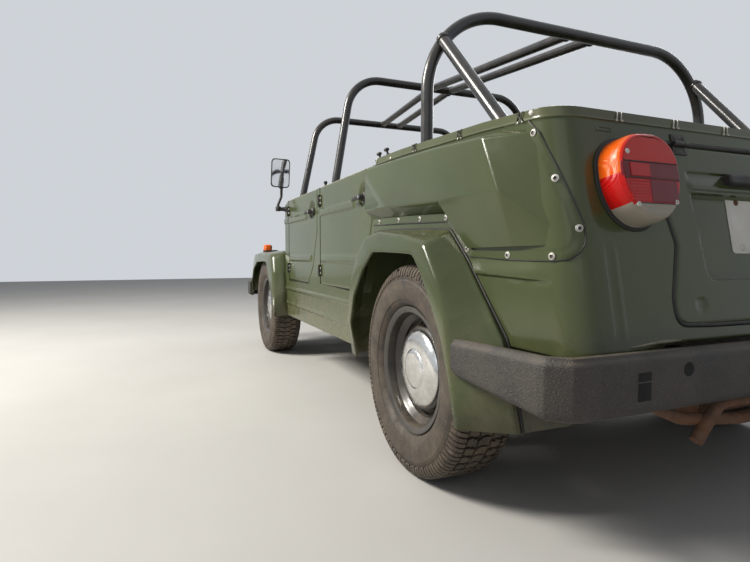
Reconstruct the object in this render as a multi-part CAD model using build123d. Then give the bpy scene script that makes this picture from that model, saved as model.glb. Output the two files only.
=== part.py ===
from build123d import *
import os
from math import cos, radians, sin, tan

# Open four-door military utility car with its engine at the rear, in millimetres.
# +X is the car's left, +Y its rear and +Z up. The origin is on the ground, midway along and across.
# Outline tables hold (y, z) points in the side view, or (x, y) and (x, z) where their comment says so.

# Overall sizes
WHEELBASE = 2400.0
FRONT_OVERHANG = 640.0
REAR_OVERHANG = 740.0
SIDE_X = 730.0
FENDER_STAND_OUT = 90.0
BELT_Z = 1069.0
SILL_Z = 321.0
SKIN = 5.0
WALL = 30.0
PANEL_GAP = 7.0
SEAT_GAP = 0.3
RUN_ON = 100.0

LENGTH = FRONT_OVERHANG + WHEELBASE + REAR_OVERHANG
FENDER_X = SIDE_X + FENDER_STAND_OUT
FRONT_END_Y = -LENGTH / 2
REAR_END_Y = LENGTH / 2
FRONT_AXLE_Y = FRONT_END_Y + FRONT_OVERHANG
REAR_AXLE_Y = FRONT_AXLE_Y + WHEELBASE

# Wheels
TYRE_RADIUS = 344.0
TYRE_WIDTH = 204.0
TYRE_INSET = 31.0
RIM_RADIUS = 207.0
RIM_SEAT_RADIUS = 190.0
RIM_WIDTH = 164.0
RIM_WALL = 6.0
DRUM_RADIUS = 125.0
DRUM_WIDTH = 70.0
DISC_OFFSET = 42.0
DISC_THICKNESS = 8.0
DISC_SLOTS = 8
HUBCAP_RADIUS = 128.0
HUBCAP_HEIGHT = 22.0
SPINDLE_RADIUS = 22.0
SPINDLE_CLEARANCE = 0.06
WHEEL_X = FENDER_X - TYRE_INSET - TYRE_WIDTH / 2
WHEEL_Z = TYRE_RADIUS

# Doors and their hinges; heights, and distances from the post between the doors
POST_Y = -15.0
FRONT_DOOR_LENGTH = 647.0
DOOR_THICKNESS = 36.0
RIB_HEIGHT = 6.0
RIB_SLOPE = 9.0
BELT_RIB = (920.0, 960.0)
DOOR_RIB = (680.0, 721.0)
SILL_RIBS = ((486.0, 514.0), (392.0, 418.0))
HINGE_RADIUS = 7.0
HINGE_HEIGHT = 46.0
HINGE_EAR = 8.0
HINGE_LEAF = 22.0
LEAF_THICKNESS = 4.0
PIN_RADIUS = 4.0
PIN_CLEARANCE = 0.3
EAR_GAP = 0.5
HINGE_STANDOFF = HINGE_RADIUS + EAR_GAP
DOOR_HINGE_HEIGHTS = (635.0, 1000.0)
HANDLE_Z = 955.0
HANDLE_LENGTH = 118.0
HANDLE_SETBACK = 62.0
HANDLE_STAND_OFF = 30.0

# Cabin
FLOOR_Z = 300.0
FLOOR_THICKNESS = 20.0
FLOOR_FRONT_Y = -800.0
HEELBOARD_Y = 470.0
BENCH_HEIGHT = 300.0
BENCH_HALF_WIDTH = 528.0
BULKHEAD_Y = 945.0
BULKHEAD_TOP_Z = 1040.0
TUNNEL_HALF_WIDTH = 90.0
TUNNEL_HEIGHT = 130.0
FRAME_X = SIDE_X - WALL - 10.0
FLOOR_TOP_Z = FLOOR_Z + FLOOR_THICKNESS
BENCH_Z = FLOOR_Z + BENCH_HEIGHT

# Front body, with its nose set back from the bumper
COWL_Z = 1032.0
NOSE_SETBACK = 155.0
NOSE_TOP_Z = 846.0
NOSE_BOTTOM_Z = 395.0
NOSE_LEAN = 85.0
COWL_INSET = 30.0
NOSE_HALF_WIDTH = 480.0
WHEELHOUSE_HALF_WIDTH = 405.0
WHEELHOUSE_TOP_Z = 752.0
AXLE_ROOM_Z = 480.0
AXLE_ROOM_LENGTH = 250.0
NOSE_Y = FRONT_END_Y + NOSE_SETBACK
NOSE_TOP_Y = NOSE_Y + NOSE_LEAN
COWL_HALF_WIDTH = SIDE_X - COWL_INSET

# Front lid, and the windscreen folded forward on it, both on one hinge line at the cowl
LID_THICKNESS = 18.0
LID_MARGIN = 58.0
LID_START = 22.0
LID_REAR_GAP = 15.0
LINE_AHEAD = 15.0
LINE_ABOVE = 25.0
LINE_PIN_RADIUS = 6.0
LUG_THICKNESS = 9.0
LUG_RADIUS = 12.0
SCREEN_LENGTH = 420.0
SCREEN_BAR = 30.0
SCREEN_DEPTH = 26.0
GLASS_THICKNESS = 6.0
SCREEN_INSET = 22.0
SCREEN_HALF_WIDTH = COWL_HALF_WIDTH - LID_MARGIN - SCREEN_INSET

# Rear body
RIM_FRONT_Z = 1091.0
RIM_REAR_Z = 1054.0
RIM_FRONT_Y = 780.0
TAIL_TOP_Z = 1100.0
TAIL_BOTTOM_Z = 500.0
TAIL_TILT = 10.8
TAIL_SETBACK = 113.0
TAIL_MID_Z = 798.0
TAIL_CORNER_TOP_X = 708.0
TAIL_CORNER_BOTTOM_X = 612.0
DECK_Z = 810.0
DECK_THICKNESS = 25.0
REAR_WHEELHOUSE_HALF_WIDTH = 560.0
TAIL_MID_Y = REAR_END_Y - TAIL_SETBACK

# Engine lid: half widths at its top and bottom, and the recess for the plate
LID_TOP_Z = 987.0
LID_BOTTOM_Z = 552.0
LID_TOP_HALF = 345.0
LID_BOTTOM_HALF = 402.0
LID_CORNER = 62.0
ENGINE_LID_THICKNESS = 26.0
RECESS_DEPTH = 15.0
RECESS_TOP_Z = 927.0
RECESS_BOTTOM_Z = 645.0
RECESS_TOP_HALF = 304.0
RECESS_BOTTOM_HALF = 264.0
PLATE_WIDTH = 305.0
PLATE_HEIGHT = 152.0
PLATE_THICKNESS = 2.0
LID_HINGE_X = 318.0

# Lamps
TAIL_LAMP_X = 500.0
TAIL_LAMP_Z = 885.0
TAIL_LAMP_WIDTH = 186.0
TAIL_LAMP_HEIGHT = 208.0
TAIL_LAMP_DEPTH = 66.0
TAIL_LAMP_CORNER = 80.0
HEADLAMP_X = 612.0
HEADLAMP_Z = 668.0
HEADLAMP_RADIUS = 92.0
HEADLAMP_LENGTH = 60.0
INDICATOR_X = 706.0
INDICATOR_AHEAD = 295.0
INDICATOR_LENGTH = 96.0
INDICATOR_WIDTH = 54.0
INDICATOR_TOP_Z = 800.0

# Bumpers
BUMPER_DEPTH = 48.0
BUMPER_SIDE = 30.0
BUMPER_TOP_Z = 513.0
BUMPER_BOTTOM_Z = 382.0
BUMPER_CORNER = 55.0
BRACKET_X = 380.0
BRACKET_WIDTH = 40.0
REAR_WING = 398.0
FRONT_WING = 190.0
SLOT_X = 590.0
SLOT_Z = 443.0
HOLE_X = 458.0
HOLE_Z = 469.0
HOLE_RADIUS = 15.0

# Roll cage
TUBE_RADIUS = 21.0
BAR_RADIUS = 19.0
BAR_X = 60.0
REAR_HOOP_Y = REAR_AXLE_Y - 70.0
MIDDLE_HOOP_Y = 0.0
FRONT_HOOP_Y = -705.0
REAR_HOOP_TOP_Z = 1555.0
MIDDLE_HOOP_TOP_Z = 1665.0
FRONT_HOOP_TOP_Z = 1620.0
HOOP_FOOT_X = 640.0
REAR_HOOP_X = 670.0
BRACE_TOP_Z = 1450.0

# Running gear
STEER_HALF_HEIGHT = 85.0
KINGPIN_INSET = 95.0
AXLE_TUBE_RADIUS = 28.0
AXLE_TUBE_AHEAD = 150.0
AXLE_TUBE_SPREAD = 75.0
AXLE_TUBE_HALF = 420.0
GEARBOX_HALF_WIDTH = 110.0
ENGINE_HALF_WIDTH = 330.0
ENGINE_START = 160.0
ENGINE_LENGTH = 380.0
ENGINE_BOTTOM_Z = 300.0
ENGINE_TOP_Z = 740.0
MUFFLER_RADIUS = 52.0
MUFFLER_Z = 360.0
TOW_TUBE_RADIUS = 15.0
TOW_EYE_RADIUS = 14.0
TOW_PLATE_THICKNESS = 16.0
KINGPIN_X = WHEEL_X - KINGPIN_INSET
ENGINE_Y = REAR_AXLE_Y + ENGINE_START

# Steering wheel
COLUMN_X = 360.0
STEERING_WHEEL_Y = -430.0
STEERING_WHEEL_Z = 960.0
STEERING_TILT = 35.0
STEERING_WHEEL_RADIUS = 195.0
STEERING_RIM_RADIUS = 11.0
COLUMN_RADIUS = 22.0

# Seats
SEAT_HALF_WIDTH = 240.0
SEAT_FRONT_Y = -250.0
SEAT_DEPTH = 480.0
SEAT_Z = 430.0
CUSHION_THICKNESS = 110.0
SEAT_BACK_THICKNESS = 90.0
SEAT_TOP_Z = 1000.0

# Mirrors
MIRROR_X = 770.0
MIRROR_Y = -745.0
MIRROR_Z = 1250.0
MIRROR_WIDTH = 136.0
MIRROR_HEIGHT = 190.0
MIRROR_DEPTH = 26.0
MIRROR_ARM_RADIUS = 7.0


def block(x, y, z):
    """Box between three (low, high) pairs."""
    size = [high - low for low, high in (x, y, z)]
    middle = [(high + low) / 2 for low, high in (x, y, z)]
    return Pos(*middle) * Box(*size)


def side_face(points, x):
    return Plane.YZ.offset(x) * Polygon(*points, align=None)


def side_slab(points, x_low, x_high):
    """Solid between two planes across the car, over a side view outline."""
    return extrude(side_face(points, x_low), amount=x_high - x_low, dir=(1, 0, 0))


def plan_slab(points, z_low, z_high):
    """Solid between two heights, over an outline of (x, y) points."""
    return extrude(Plane.XY.offset(z_low) * Polygon(*points, align=None), amount=z_high - z_low, dir=(0, 0, 1))


def side_loft(sections):
    """Straight loft through (x, side view outline) sections."""
    return loft([side_face(points, x) for x, points in sections], ruled=True)


def mirrored(shape):
    return mirror(shape, about=Plane.YZ)


def both_sides(shape):
    return Compound(children=[Part() + shape, Part() + mirrored(shape)])


def apart(shapes):
    """One compound of solids that stay apart."""
    return Compound(children=[Part() + shape for shape in shapes])


def rod(start, end, radius):
    line = Vector(*end) - Vector(*start)
    return extrude(Plane(origin=start, z_dir=line) * Circle(radius), amount=line.length)


def tube(points, radius, bends):
    """Round bar along a bent path."""
    path = FilletPolyline(*points, radius=bends)
    start = Plane(origin=points[0], z_dir=Vector(*points[1]) - Vector(*points[0]))
    return sweep(start * Circle(radius), path=path)


def from_axle(points, axle_y):
    return [(axle_y + y, z) for y, z in points]


def inset(points, distance):
    """Outline moved in by a distance, or out where the distance is negative."""
    count = len(points)
    area = sum(points[i - 1][0] * points[i][1] - points[i][0] * points[i - 1][1] for i in range(count))
    turn = 1 if area > 0 else -1
    moved = []
    for i, point in enumerate(points):
        before = Vector(point) - Vector(points[i - 1])
        after = Vector(points[(i + 1) % count]) - Vector(point)
        corner = Vector(-before.Y, before.X).normalized() + Vector(-after.Y, after.X).normalized()
        reach = 2 * distance * turn / corner.length ** 2
        moved.append((point[0] + corner.X * reach, point[1] + corner.Y * reach))
    return moved


def hinge(origin, along, out):
    """Butt hinge about a line: the half that stays, then the half that moves.

    Its flat side looks away from out, and the moving leaf lies towards along x out.
    """
    plane = Plane(origin=origin, x_dir=out, z_dir=along)
    half = HINGE_HEIGHT / 2
    leaf_x = (-HINGE_STANDOFF, LEAF_THICKNESS - HINGE_STANDOFF)
    bore = Cylinder(PIN_RADIUS + PIN_CLEARANCE, HINGE_HEIGHT)
    moving = Cylinder(HINGE_RADIUS, HINGE_HEIGHT) + block(leaf_x, (0, HINGE_LEAF), (-half, half)) - bore
    reach = half + EAR_GAP + HINGE_EAR
    fixed = Cylinder(PIN_RADIUS, 2 * reach) + block(leaf_x, (-HINGE_LEAF, -HINGE_RADIUS - 1), (-reach, reach))
    for low, high in ((-reach, -half - EAR_GAP), (half + EAR_GAP, reach)):
        fixed += Pos(0, 0, (low + high) / 2) * Cylinder(HINGE_RADIUS, HINGE_EAR)
        fixed += block(leaf_x, (-HINGE_LEAF, 0), (low, high))
    return plane * fixed, plane * moving


# Door outlines, anticlockwise from the top front corner: (y from the post, z)
FRONT_DOOR = [(-28 - FRONT_DOOR_LENGTH, BELT_Z), (-28 - FRONT_DOOR_LENGTH, 558), (-211, 560), (-111, 654),
              (-28, 850), (-28, BELT_Z)]
REAR_DOOR = [(31, BELT_Z), (31, 572), (539, 561), (573, 575), (629, 623), (683, 708), (727, 789), (748, 852),
             (752, BELT_Z)]
FRONT_DOOR = [(POST_Y + y, z) for y, z in FRONT_DOOR]
REAR_DOOR = [(POST_Y + y, z) for y, z in REAR_DOOR]
DOORS = {"front": FRONT_DOOR, "rear": REAR_DOOR}

# Rear fender: (y from the axle, z) where it meets the body, along its outer face, and its wheel arch
REAR_FENDER_SEAM = [(-575, 300), (-575, 470), (-378, 807), (181, 793), (445, 504), (505, 285)]
REAR_FENDER_OUTER = [(-520, 300), (-518, 450), (-195, 797), (150, 752), (330, 440), (375, 275)]
REAR_ARCH = [(-510, 200), (-500, 440), (-201, 727), (119, 717), (153, 697), (190, 631), (261, 543),
             (312, 436), (344, 344), (366, 200)]

# Front fender: the same along the body, along its crest and along its outer face
FRONT_FENDER_BODY = [(515, 318), (405, 752), (-360, 765), (-440, 700), (-470, 640), (-470, 430)]
FRONT_FENDER_CREST = [(515, 318), (400, 743), (-345, 748), (-430, 690), (-455, 630), (-455, 430)]
FRONT_FENDER_OUTER = [(512, 318), (250, 702), (-300, 697), (-375, 655), (-405, 600), (-405, 430)]
CREST_INSET = 104.0
FRONT_ARCH = [(511, 200), (511, 316), (372, 480), (231, 669), (-149, 664), (-310, 500), (-375, 400),
              (-392, 200)]

# Air intake on the rear quarter: (y from the axle, z) on the body, and on the raised outer face
INTAKE_BASE = [(-398, 1062), (500, 1013), (595, 738), (265, 732), (110, 860), (-438, 854)]
INTAKE_OUTER = [(-394, 1050), (392, 1012), (456, 872), (250, 879), (100, 884), (-390, 893)]
INTAKE_STAND_OUT = 35.0

# Side outline of the front body, from the foot of the cowl
NOSE_SIDE = [(FLOOR_FRONT_Y, NOSE_BOTTOM_Z), (FLOOR_FRONT_Y, COWL_Z), (NOSE_TOP_Y, NOSE_TOP_Z),
             (NOSE_Y + 25, 800), (NOSE_Y, 560), (NOSE_Y + 10, NOSE_BOTTOM_Z)]

# Planes of the front lid's top and of the rear face, both with y along the surface
LID_SLOPE = Vector(0, NOSE_TOP_Y - FLOOR_FRONT_Y, NOSE_TOP_Z - COWL_Z)
LID_PLANE = Plane(origin=(0, FLOOR_FRONT_Y, COWL_Z), x_dir=(-1, 0, 0), z_dir=LID_SLOPE.cross(Vector(1, 0, 0)))
TAIL_PLANE = Plane(origin=(0, TAIL_MID_Y, TAIL_MID_Z), x_dir=(-1, 0, 0),
                   z_dir=(0, cos(radians(TAIL_TILT)), sin(radians(TAIL_TILT))))


def on_lid(ahead, above=0.0, x=0.0):
    """Point from a distance down the lid's slope and a height over it."""
    return LID_PLANE.origin + LID_SLOPE.normalized() * ahead + LID_PLANE.z_dir * above + Vector(x, 0, 0)


def lid_slab(outline, low, high):
    """Solid over (half width, distance ahead) pairs of the lid's plane, between two heights over it."""
    right = [Vector(*on_lid(ahead, low, half)) for half, ahead in outline]
    left = [Vector(*on_lid(ahead, low, -half)) for half, ahead in reversed(outline)]
    return extrude(make_face(Polyline(*right, *left, close=True)), amount=high - low, dir=LID_PLANE.z_dir)


LID_LINE = on_lid(LINE_AHEAD, LINE_ABOVE)


def on_tail(half_bottom, half_top, z_bottom, z_top, thickness, depth=0.0, corner=0.0):
    """Slab in the rear face between two heights, from a depth under it, going forward."""
    stretch = cos(radians(TAIL_TILT))
    low = (z_bottom - TAIL_MID_Z) / stretch
    high = (z_top - TAIL_MID_Z) / stretch
    outline = Polygon((-half_bottom, low), (half_bottom, low), (half_top, high), (-half_top, high), align=None)
    if corner:
        outline = fillet(outline.vertices().sort_by(Axis.Y)[:2], corner)
    return extrude(TAIL_PLANE.offset(-depth) * outline, amount=thickness, dir=-TAIL_PLANE.z_dir)


def tail_y(z):
    """Where the rear face stands at a height."""
    return TAIL_MID_Y - (z - TAIL_MID_Z) * tan(radians(TAIL_TILT))


# Body hulls, from which the shells are cut and to which their neighbours are trimmed
def front_hull(margin):
    cowl = COWL_HALF_WIDTH - margin
    nose = NOSE_HALF_WIDTH - margin
    plan = [(-cowl, FLOOR_FRONT_Y), (cowl, FLOOR_FRONT_Y), (nose, NOSE_Y), (-nose, NOSE_Y)]
    return side_slab(inset(NOSE_SIDE, margin), -SIDE_X, SIDE_X) & plan_slab(plan, 0, BELT_Z)


def rear_section(z, corner_x, margin):
    """Plan outline of the rear body at a height."""
    rear = tail_y(z) - margin
    side = SIDE_X - margin
    corner = corner_x - margin
    left = [(side, RIM_FRONT_Y), (side - 8, REAR_AXLE_Y + 330), (corner, rear - 40), (corner - 14, rear - 16),
            (corner - 50, rear), (0, rear)]
    return left + [(-x, y) for x, y in reversed(left[:-1])]


def rear_hull(margin, low=TAIL_BOTTOM_Z, high=TAIL_TOP_Z):
    bottom = Polygon(*rear_section(TAIL_BOTTOM_Z, TAIL_CORNER_BOTTOM_X, margin), align=None)
    top = Polygon(*rear_section(TAIL_TOP_Z, TAIL_CORNER_TOP_X, margin), align=None)
    hull = loft([Plane.XY.offset(TAIL_BOTTOM_Z) * bottom, Plane.XY.offset(TAIL_TOP_Z) * top], ruled=True)
    return hull & block((-SIDE_X, SIDE_X), (0, REAR_END_Y), (low, high))


# Cabin floor, its tunnel, frame head and frame horns, and the box under the rear bench
def make_floor_pan():
    pan = block((-FRAME_X, FRAME_X), (FLOOR_FRONT_Y, HEELBOARD_Y + WALL), (FLOOR_Z, FLOOR_TOP_Z))
    tunnel = block((-TUNNEL_HALF_WIDTH, TUNNEL_HALF_WIDTH), (FLOOR_FRONT_Y + WALL, HEELBOARD_Y),
                   (FLOOR_TOP_Z, FLOOR_TOP_Z + TUNNEL_HEIGHT))
    heelboard = block((-FRAME_X, FRAME_X), (HEELBOARD_Y, HEELBOARD_Y + WALL), (FLOOR_TOP_Z, BENCH_Z))
    bench_pan = block((-BENCH_HALF_WIDTH, BENCH_HALF_WIDTH), (HEELBOARD_Y, BULKHEAD_Y), (BENCH_Z - WALL, BENCH_Z))
    head = block((-TUNNEL_HALF_WIDTH - WALL, TUNNEL_HALF_WIDTH + WALL), (FRONT_AXLE_Y - AXLE_TUBE_AHEAD, FLOOR_FRONT_Y),
                 (FLOOR_Z - 40, WHEEL_Z + AXLE_TUBE_SPREAD))
    frame = pan + tunnel + heelboard + bench_pan + head
    for z in (WHEEL_Z - AXLE_TUBE_SPREAD, WHEEL_Z + AXLE_TUBE_SPREAD):
        frame -= rod((-AXLE_TUBE_HALF, FRONT_AXLE_Y - AXLE_TUBE_AHEAD, z),
                     (AXLE_TUBE_HALF, FRONT_AXLE_Y - AXLE_TUBE_AHEAD, z), AXLE_TUBE_RADIUS)
    horn = block((GEARBOX_HALF_WIDTH, GEARBOX_HALF_WIDTH + 45), (HEELBOARD_Y + WALL, REAR_AXLE_Y - 60),
                 (FLOOR_Z, FLOOR_Z + 80))
    return frame + horn + mirrored(horn)


def rib(y_low, y_high, z_low, z_high):
    """Pressed rib on the body side, with its upper and lower faces sloping."""
    foot = [(SIDE_X - 1, z_low), (SIDE_X, z_low), (SIDE_X + RIB_HEIGHT, z_low + RIB_SLOPE),
            (SIDE_X + RIB_HEIGHT, z_high - RIB_SLOPE), (SIDE_X, z_high), (SIDE_X - 1, z_high)]
    return extrude(Plane.XZ.offset(-y_high) * Polygon(*foot, align=None), amount=y_high - y_low, dir=(0, -1, 0))


# Sill, door posts and cowl side of each side, with both door openings and the fixed hinge halves
def make_side_frames():
    rear_edge = from_axle([(-377, 809), (-577, 470), (-577, SILL_Z)], REAR_AXLE_Y)
    outline = [(FLOOR_FRONT_Y, SILL_Z), (FLOOR_FRONT_Y, COWL_Z + 12), (FRONT_HOOP_Y, BELT_Z), (RIM_FRONT_Y, BELT_Z),
               (RIM_FRONT_Y, 809)] + rear_edge
    frame = side_slab(outline, FRAME_X, SIDE_X)
    frame += rib(FLOOR_FRONT_Y, FRONT_DOOR[0][0], *BELT_RIB)
    for low, high in SILL_RIBS:
        frame += rib(FLOOR_FRONT_Y, REAR_AXLE_Y + REAR_FENDER_SEAM[0][0], low, high) - front_fender_block(0)
    for points in DOORS.values():
        frame -= side_slab(inset(points, -PANEL_GAP), 0, SIDE_X + FENDER_STAND_OUT)
        for z in DOOR_HINGE_HEIGHTS:
            frame += hinge((SIDE_X + HINGE_STANDOFF, points[0][0], z), (0, 0, 1), (1, 0, 0))[0]
    return both_sides(frame)


# Front body: nose, luggage box, wheelhouses and cowl, open under the front lid
def make_front_body():
    nose_wall = NOSE_Y + 90
    well = block((WHEELHOUSE_HALF_WIDTH, SIDE_X), (nose_wall, FLOOR_FRONT_Y), (0, WHEELHOUSE_TOP_Z))
    lining = block((WHEELHOUSE_HALF_WIDTH - WALL, SIDE_X), (nose_wall - WALL, FLOOR_FRONT_Y),
                   (0, WHEELHOUSE_TOP_Z + WALL))
    room_y = FRONT_AXLE_Y - AXLE_ROOM_LENGTH
    axle_room = block((-SIDE_X, SIDE_X), (room_y, FLOOR_FRONT_Y), (0, AXLE_ROOM_Z))
    over_axle = block((-SIDE_X, SIDE_X), (room_y - WALL, FLOOR_FRONT_Y), (0, AXLE_ROOM_Z + WALL))
    inside = front_hull(WALL) - lining - mirrored(lining) - over_axle
    body = front_hull(0) - inside - axle_room - well - mirrored(well)
    front = LID_SLOPE.length + PANEL_GAP
    body -= lid_slab([(COWL_HALF_WIDTH - LID_MARGIN + LID_REAR_GAP, LID_START - PANEL_GAP),
                      (NOSE_HALF_WIDTH - LID_MARGIN + LID_REAR_GAP, front)], -2 * WALL, WALL)
    body += block((-FRAME_X, FRAME_X), (FLOOR_FRONT_Y, FLOOR_FRONT_Y + WALL), (FLOOR_TOP_Z, COWL_Z))
    return body + lid_line_lugs()


def lug(web, x_low, x_high):
    """Plate from the lid's hinge line down to a surface, across the car between two x."""
    plate = side_slab(web, x_low, x_high)
    eye = rod((x_low, LID_LINE.Y, LID_LINE.Z), (x_high, LID_LINE.Y, LID_LINE.Z), LUG_RADIUS)
    return plate + eye


def lid_line_lugs():
    """Cowl lugs and the pins that carry the front lid and the windscreen."""
    x = SCREEN_HALF_WIDTH + SEAT_GAP + LUG_THICKNESS + EAR_GAP
    web = [(LID_LINE.Y - 4, LID_LINE.Z + 6), (FLOOR_FRONT_Y - 2, COWL_Z - 2), (FLOOR_FRONT_Y + WALL - 4, COWL_Z - 2),
           (FLOOR_FRONT_Y + WALL - 4, COWL_Z + 4), (LID_LINE.Y + 6, LID_LINE.Z + 8)]
    pin = rod((SCREEN_HALF_WIDTH - 40, LID_LINE.Y, LID_LINE.Z), (x + LUG_THICKNESS, LID_LINE.Y, LID_LINE.Z), LINE_PIN_RADIUS)
    left = lug(web, x, x + LUG_THICKNESS) + pin
    return left + mirrored(left)


# Front lid with its hinge lugs, which stand outside the folded windscreen
def make_front_lid():
    lid = lid_slab([(COWL_HALF_WIDTH - LID_MARGIN, LID_START), (NOSE_HALF_WIDTH - LID_MARGIN, LID_SLOPE.length)],
                   -LID_THICKNESS, 0)
    x = SCREEN_HALF_WIDTH + SEAT_GAP
    points = [on_lid(LINE_AHEAD - 6, LINE_ABOVE + 4), on_lid(LINE_AHEAD - 4, LINE_ABOVE - 10), on_lid(LID_START + 2, -2),
              on_lid(LID_START + 62, -2), on_lid(LID_START + 62, 3), on_lid(LINE_AHEAD + 10, LINE_ABOVE + 4)]
    arm = lug([(point.Y, point.Z) for point in points], x, x + LUG_THICKNESS)
    hole = rod((-SIDE_X, LID_LINE.Y, LID_LINE.Z), (SIDE_X, LID_LINE.Y, LID_LINE.Z), LINE_PIN_RADIUS + PIN_CLEARANCE)
    return lid + (arm - hole) + mirrored(arm - hole)


# Windscreen frame, folded flat above the front lid, and its pane
def screen_outline(margin):
    narrow = SCREEN_HALF_WIDTH - 14
    start = LINE_AHEAD - SCREEN_BAR / 2 + margin
    return [(SCREEN_HALF_WIDTH - margin, start), (narrow - margin, start + SCREEN_LENGTH - 2 * margin)]


def make_windscreen_frame():
    low = LINE_ABOVE - SCREEN_DEPTH / 2
    frame = lid_slab(screen_outline(0), low, low + SCREEN_DEPTH)
    frame -= lid_slab(screen_outline(SCREEN_BAR), low, low + SCREEN_DEPTH)
    for side in (-1, 1):
        ends = sorted((side * (SCREEN_HALF_WIDTH - 42), side * SIDE_X))
        frame -= rod((ends[0], LID_LINE.Y, LID_LINE.Z), (ends[1], LID_LINE.Y, LID_LINE.Z),
                     LINE_PIN_RADIUS + PIN_CLEARANCE)
    return frame


def make_windscreen_glass():
    return lid_slab(screen_outline(SCREEN_BAR), LINE_ABOVE - GLASS_THICKNESS / 2, LINE_ABOVE + GLASS_THICKNESS / 2)


# Rear body: quarter walls, rear face, load deck, rear wheelhouses and the bulkhead behind the bench
def make_rear_body():
    over_rim = side_slab([(0, RIM_FRONT_Z), (RIM_FRONT_Y + 40, RIM_FRONT_Z), (REAR_END_Y, RIM_REAR_Z),
                          (REAR_END_Y, TAIL_TOP_Z), (0, TAIL_TOP_Z)], -SIDE_X, SIDE_X)
    wheel = side_slab(from_axle(inset(REAR_FENDER_SEAM, SKIN - 1), REAR_AXLE_Y), REAR_WHEELHOUSE_HALF_WIDTH, SIDE_X + 10)
    lining = side_slab(from_axle(inset(REAR_FENDER_SEAM, SKIN - 1 - WALL), REAR_AXLE_Y),
                       REAR_WHEELHOUSE_HALF_WIDTH - WALL, SIDE_X + 10)
    engine_bay = rear_hull(WALL, TAIL_BOTTOM_Z, DECK_Z - DECK_THICKNESS) - lining - mirrored(lining)
    body = rear_hull(0) - over_rim - rear_hull(WALL, DECK_Z, TAIL_TOP_Z) - engine_bay
    house = lining & block((0, FRAME_X), (0, RIM_FRONT_Y), (SILL_Z, DECK_Z))
    body = body + house + mirrored(house) - wheel - mirrored(wheel)
    body -= block((-BENCH_HALF_WIDTH, BENCH_HALF_WIDTH), (0, BULKHEAD_Y), (0, TAIL_TOP_Z))
    body += block((-BENCH_HALF_WIDTH - WALL / 2, BENCH_HALF_WIDTH + WALL / 2), (BULKHEAD_Y, BULKHEAD_Y + WALL),
                  (BENCH_Z - WALL, BULKHEAD_TOP_Z))
    body -= on_tail(LID_BOTTOM_HALF + PANEL_GAP, LID_TOP_HALF + PANEL_GAP, LID_BOTTOM_Z - PANEL_GAP,
                    LID_TOP_Z + PANEL_GAP, 3 * WALL, -WALL, LID_CORNER + PANEL_GAP)
    for x in (-LID_HINGE_X, LID_HINGE_X):
        body += engine_lid_hinge(x)[0]
    return body


def engine_lid_hinge(x):
    """Both halves of a hinge on the seam over the engine lid."""
    up = (LID_TOP_Z + PANEL_GAP / 2 - TAIL_MID_Z) / cos(radians(TAIL_TILT))
    origin = TAIL_PLANE.origin + TAIL_PLANE.y_dir * up + TAIL_PLANE.z_dir * HINGE_STANDOFF + Vector(x, 0, 0)
    return hinge(origin, (-1, 0, 0), TAIL_PLANE.z_dir)


# Fenders: open shells with a wheel arch cut in the outer face
def front_fender_block(grow):
    sections = [(WHEELHOUSE_HALF_WIDTH, FRONT_FENDER_BODY), (FENDER_X - CREST_INSET, FRONT_FENDER_CREST),
                (FENDER_X + grow, FRONT_FENDER_OUTER)]
    return side_loft([(x, from_axle(deepened(points, -grow), FRONT_AXLE_Y)) for x, points in sections])


def rear_fender_block(grow):
    sections = [(SIDE_X - WALL, REAR_FENDER_SEAM), (SIDE_X - 8, REAR_FENDER_SEAM), (FENDER_X + grow, REAR_FENDER_OUTER)]
    return side_loft([(x, from_axle(deepened(points, -grow), REAR_AXLE_Y)) for x, points in sections])


def deepened(points, margin):
    """Outline moved in by a margin, with its end edges then run on past the open lower edge."""
    if not margin:
        return points
    moved = [Vector(*point) for point in inset(points, margin)]
    moved[0] += (moved[0] - moved[1]).normalized() * RUN_ON
    moved[-1] += (moved[-1] - moved[-2]).normalized() * RUN_ON
    return [(point.X, point.Y) for point in moved]


def make_front_fenders():
    shell = front_fender_block(0) - front_fender_block(-SKIN)
    shell -= side_slab(from_axle(FRONT_ARCH, FRONT_AXLE_Y), WHEEL_X - TYRE_WIDTH / 2, FENDER_X + 10)
    return both_sides(shell - front_hull(0) - block((0, SIDE_X), (FLOOR_FRONT_Y, 0), (0, BELT_Z)))


def make_rear_fenders():
    shell = rear_fender_block(0) - rear_fender_block(-SKIN)
    shell -= side_slab(from_axle(REAR_ARCH, REAR_AXLE_Y), WHEEL_X - TYRE_WIDTH / 2, FENDER_X + 10)
    return both_sides(shell - rear_hull(0) - block((0, SIDE_X), (0, RIM_FRONT_Y), (0, BELT_Z)))


def make_air_intakes():
    base = from_axle(INTAKE_BASE, REAR_AXLE_Y)
    outer = from_axle(INTAKE_OUTER, REAR_AXLE_Y)
    bulge = side_loft([(TAIL_CORNER_BOTTOM_X, base), (SIDE_X - 10, base), (SIDE_X + INTAKE_STAND_OUT, outer)])
    return both_sides(bulge - rear_hull(0) - block((0, SIDE_X), (0, RIM_FRONT_Y), (0, RIM_FRONT_Z)))


# Engine lid with the recess that holds the plate
def make_engine_lid():
    lid = on_tail(LID_BOTTOM_HALF, LID_TOP_HALF, LID_BOTTOM_Z, LID_TOP_Z, ENGINE_LID_THICKNESS, corner=LID_CORNER)
    lid -= on_tail(RECESS_BOTTOM_HALF, RECESS_TOP_HALF, RECESS_BOTTOM_Z, RECESS_TOP_Z, RECESS_DEPTH, corner=WALL)
    for x in (-LID_HINGE_X, LID_HINGE_X):
        lid += engine_lid_hinge(x)[1]
    return lid


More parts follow.
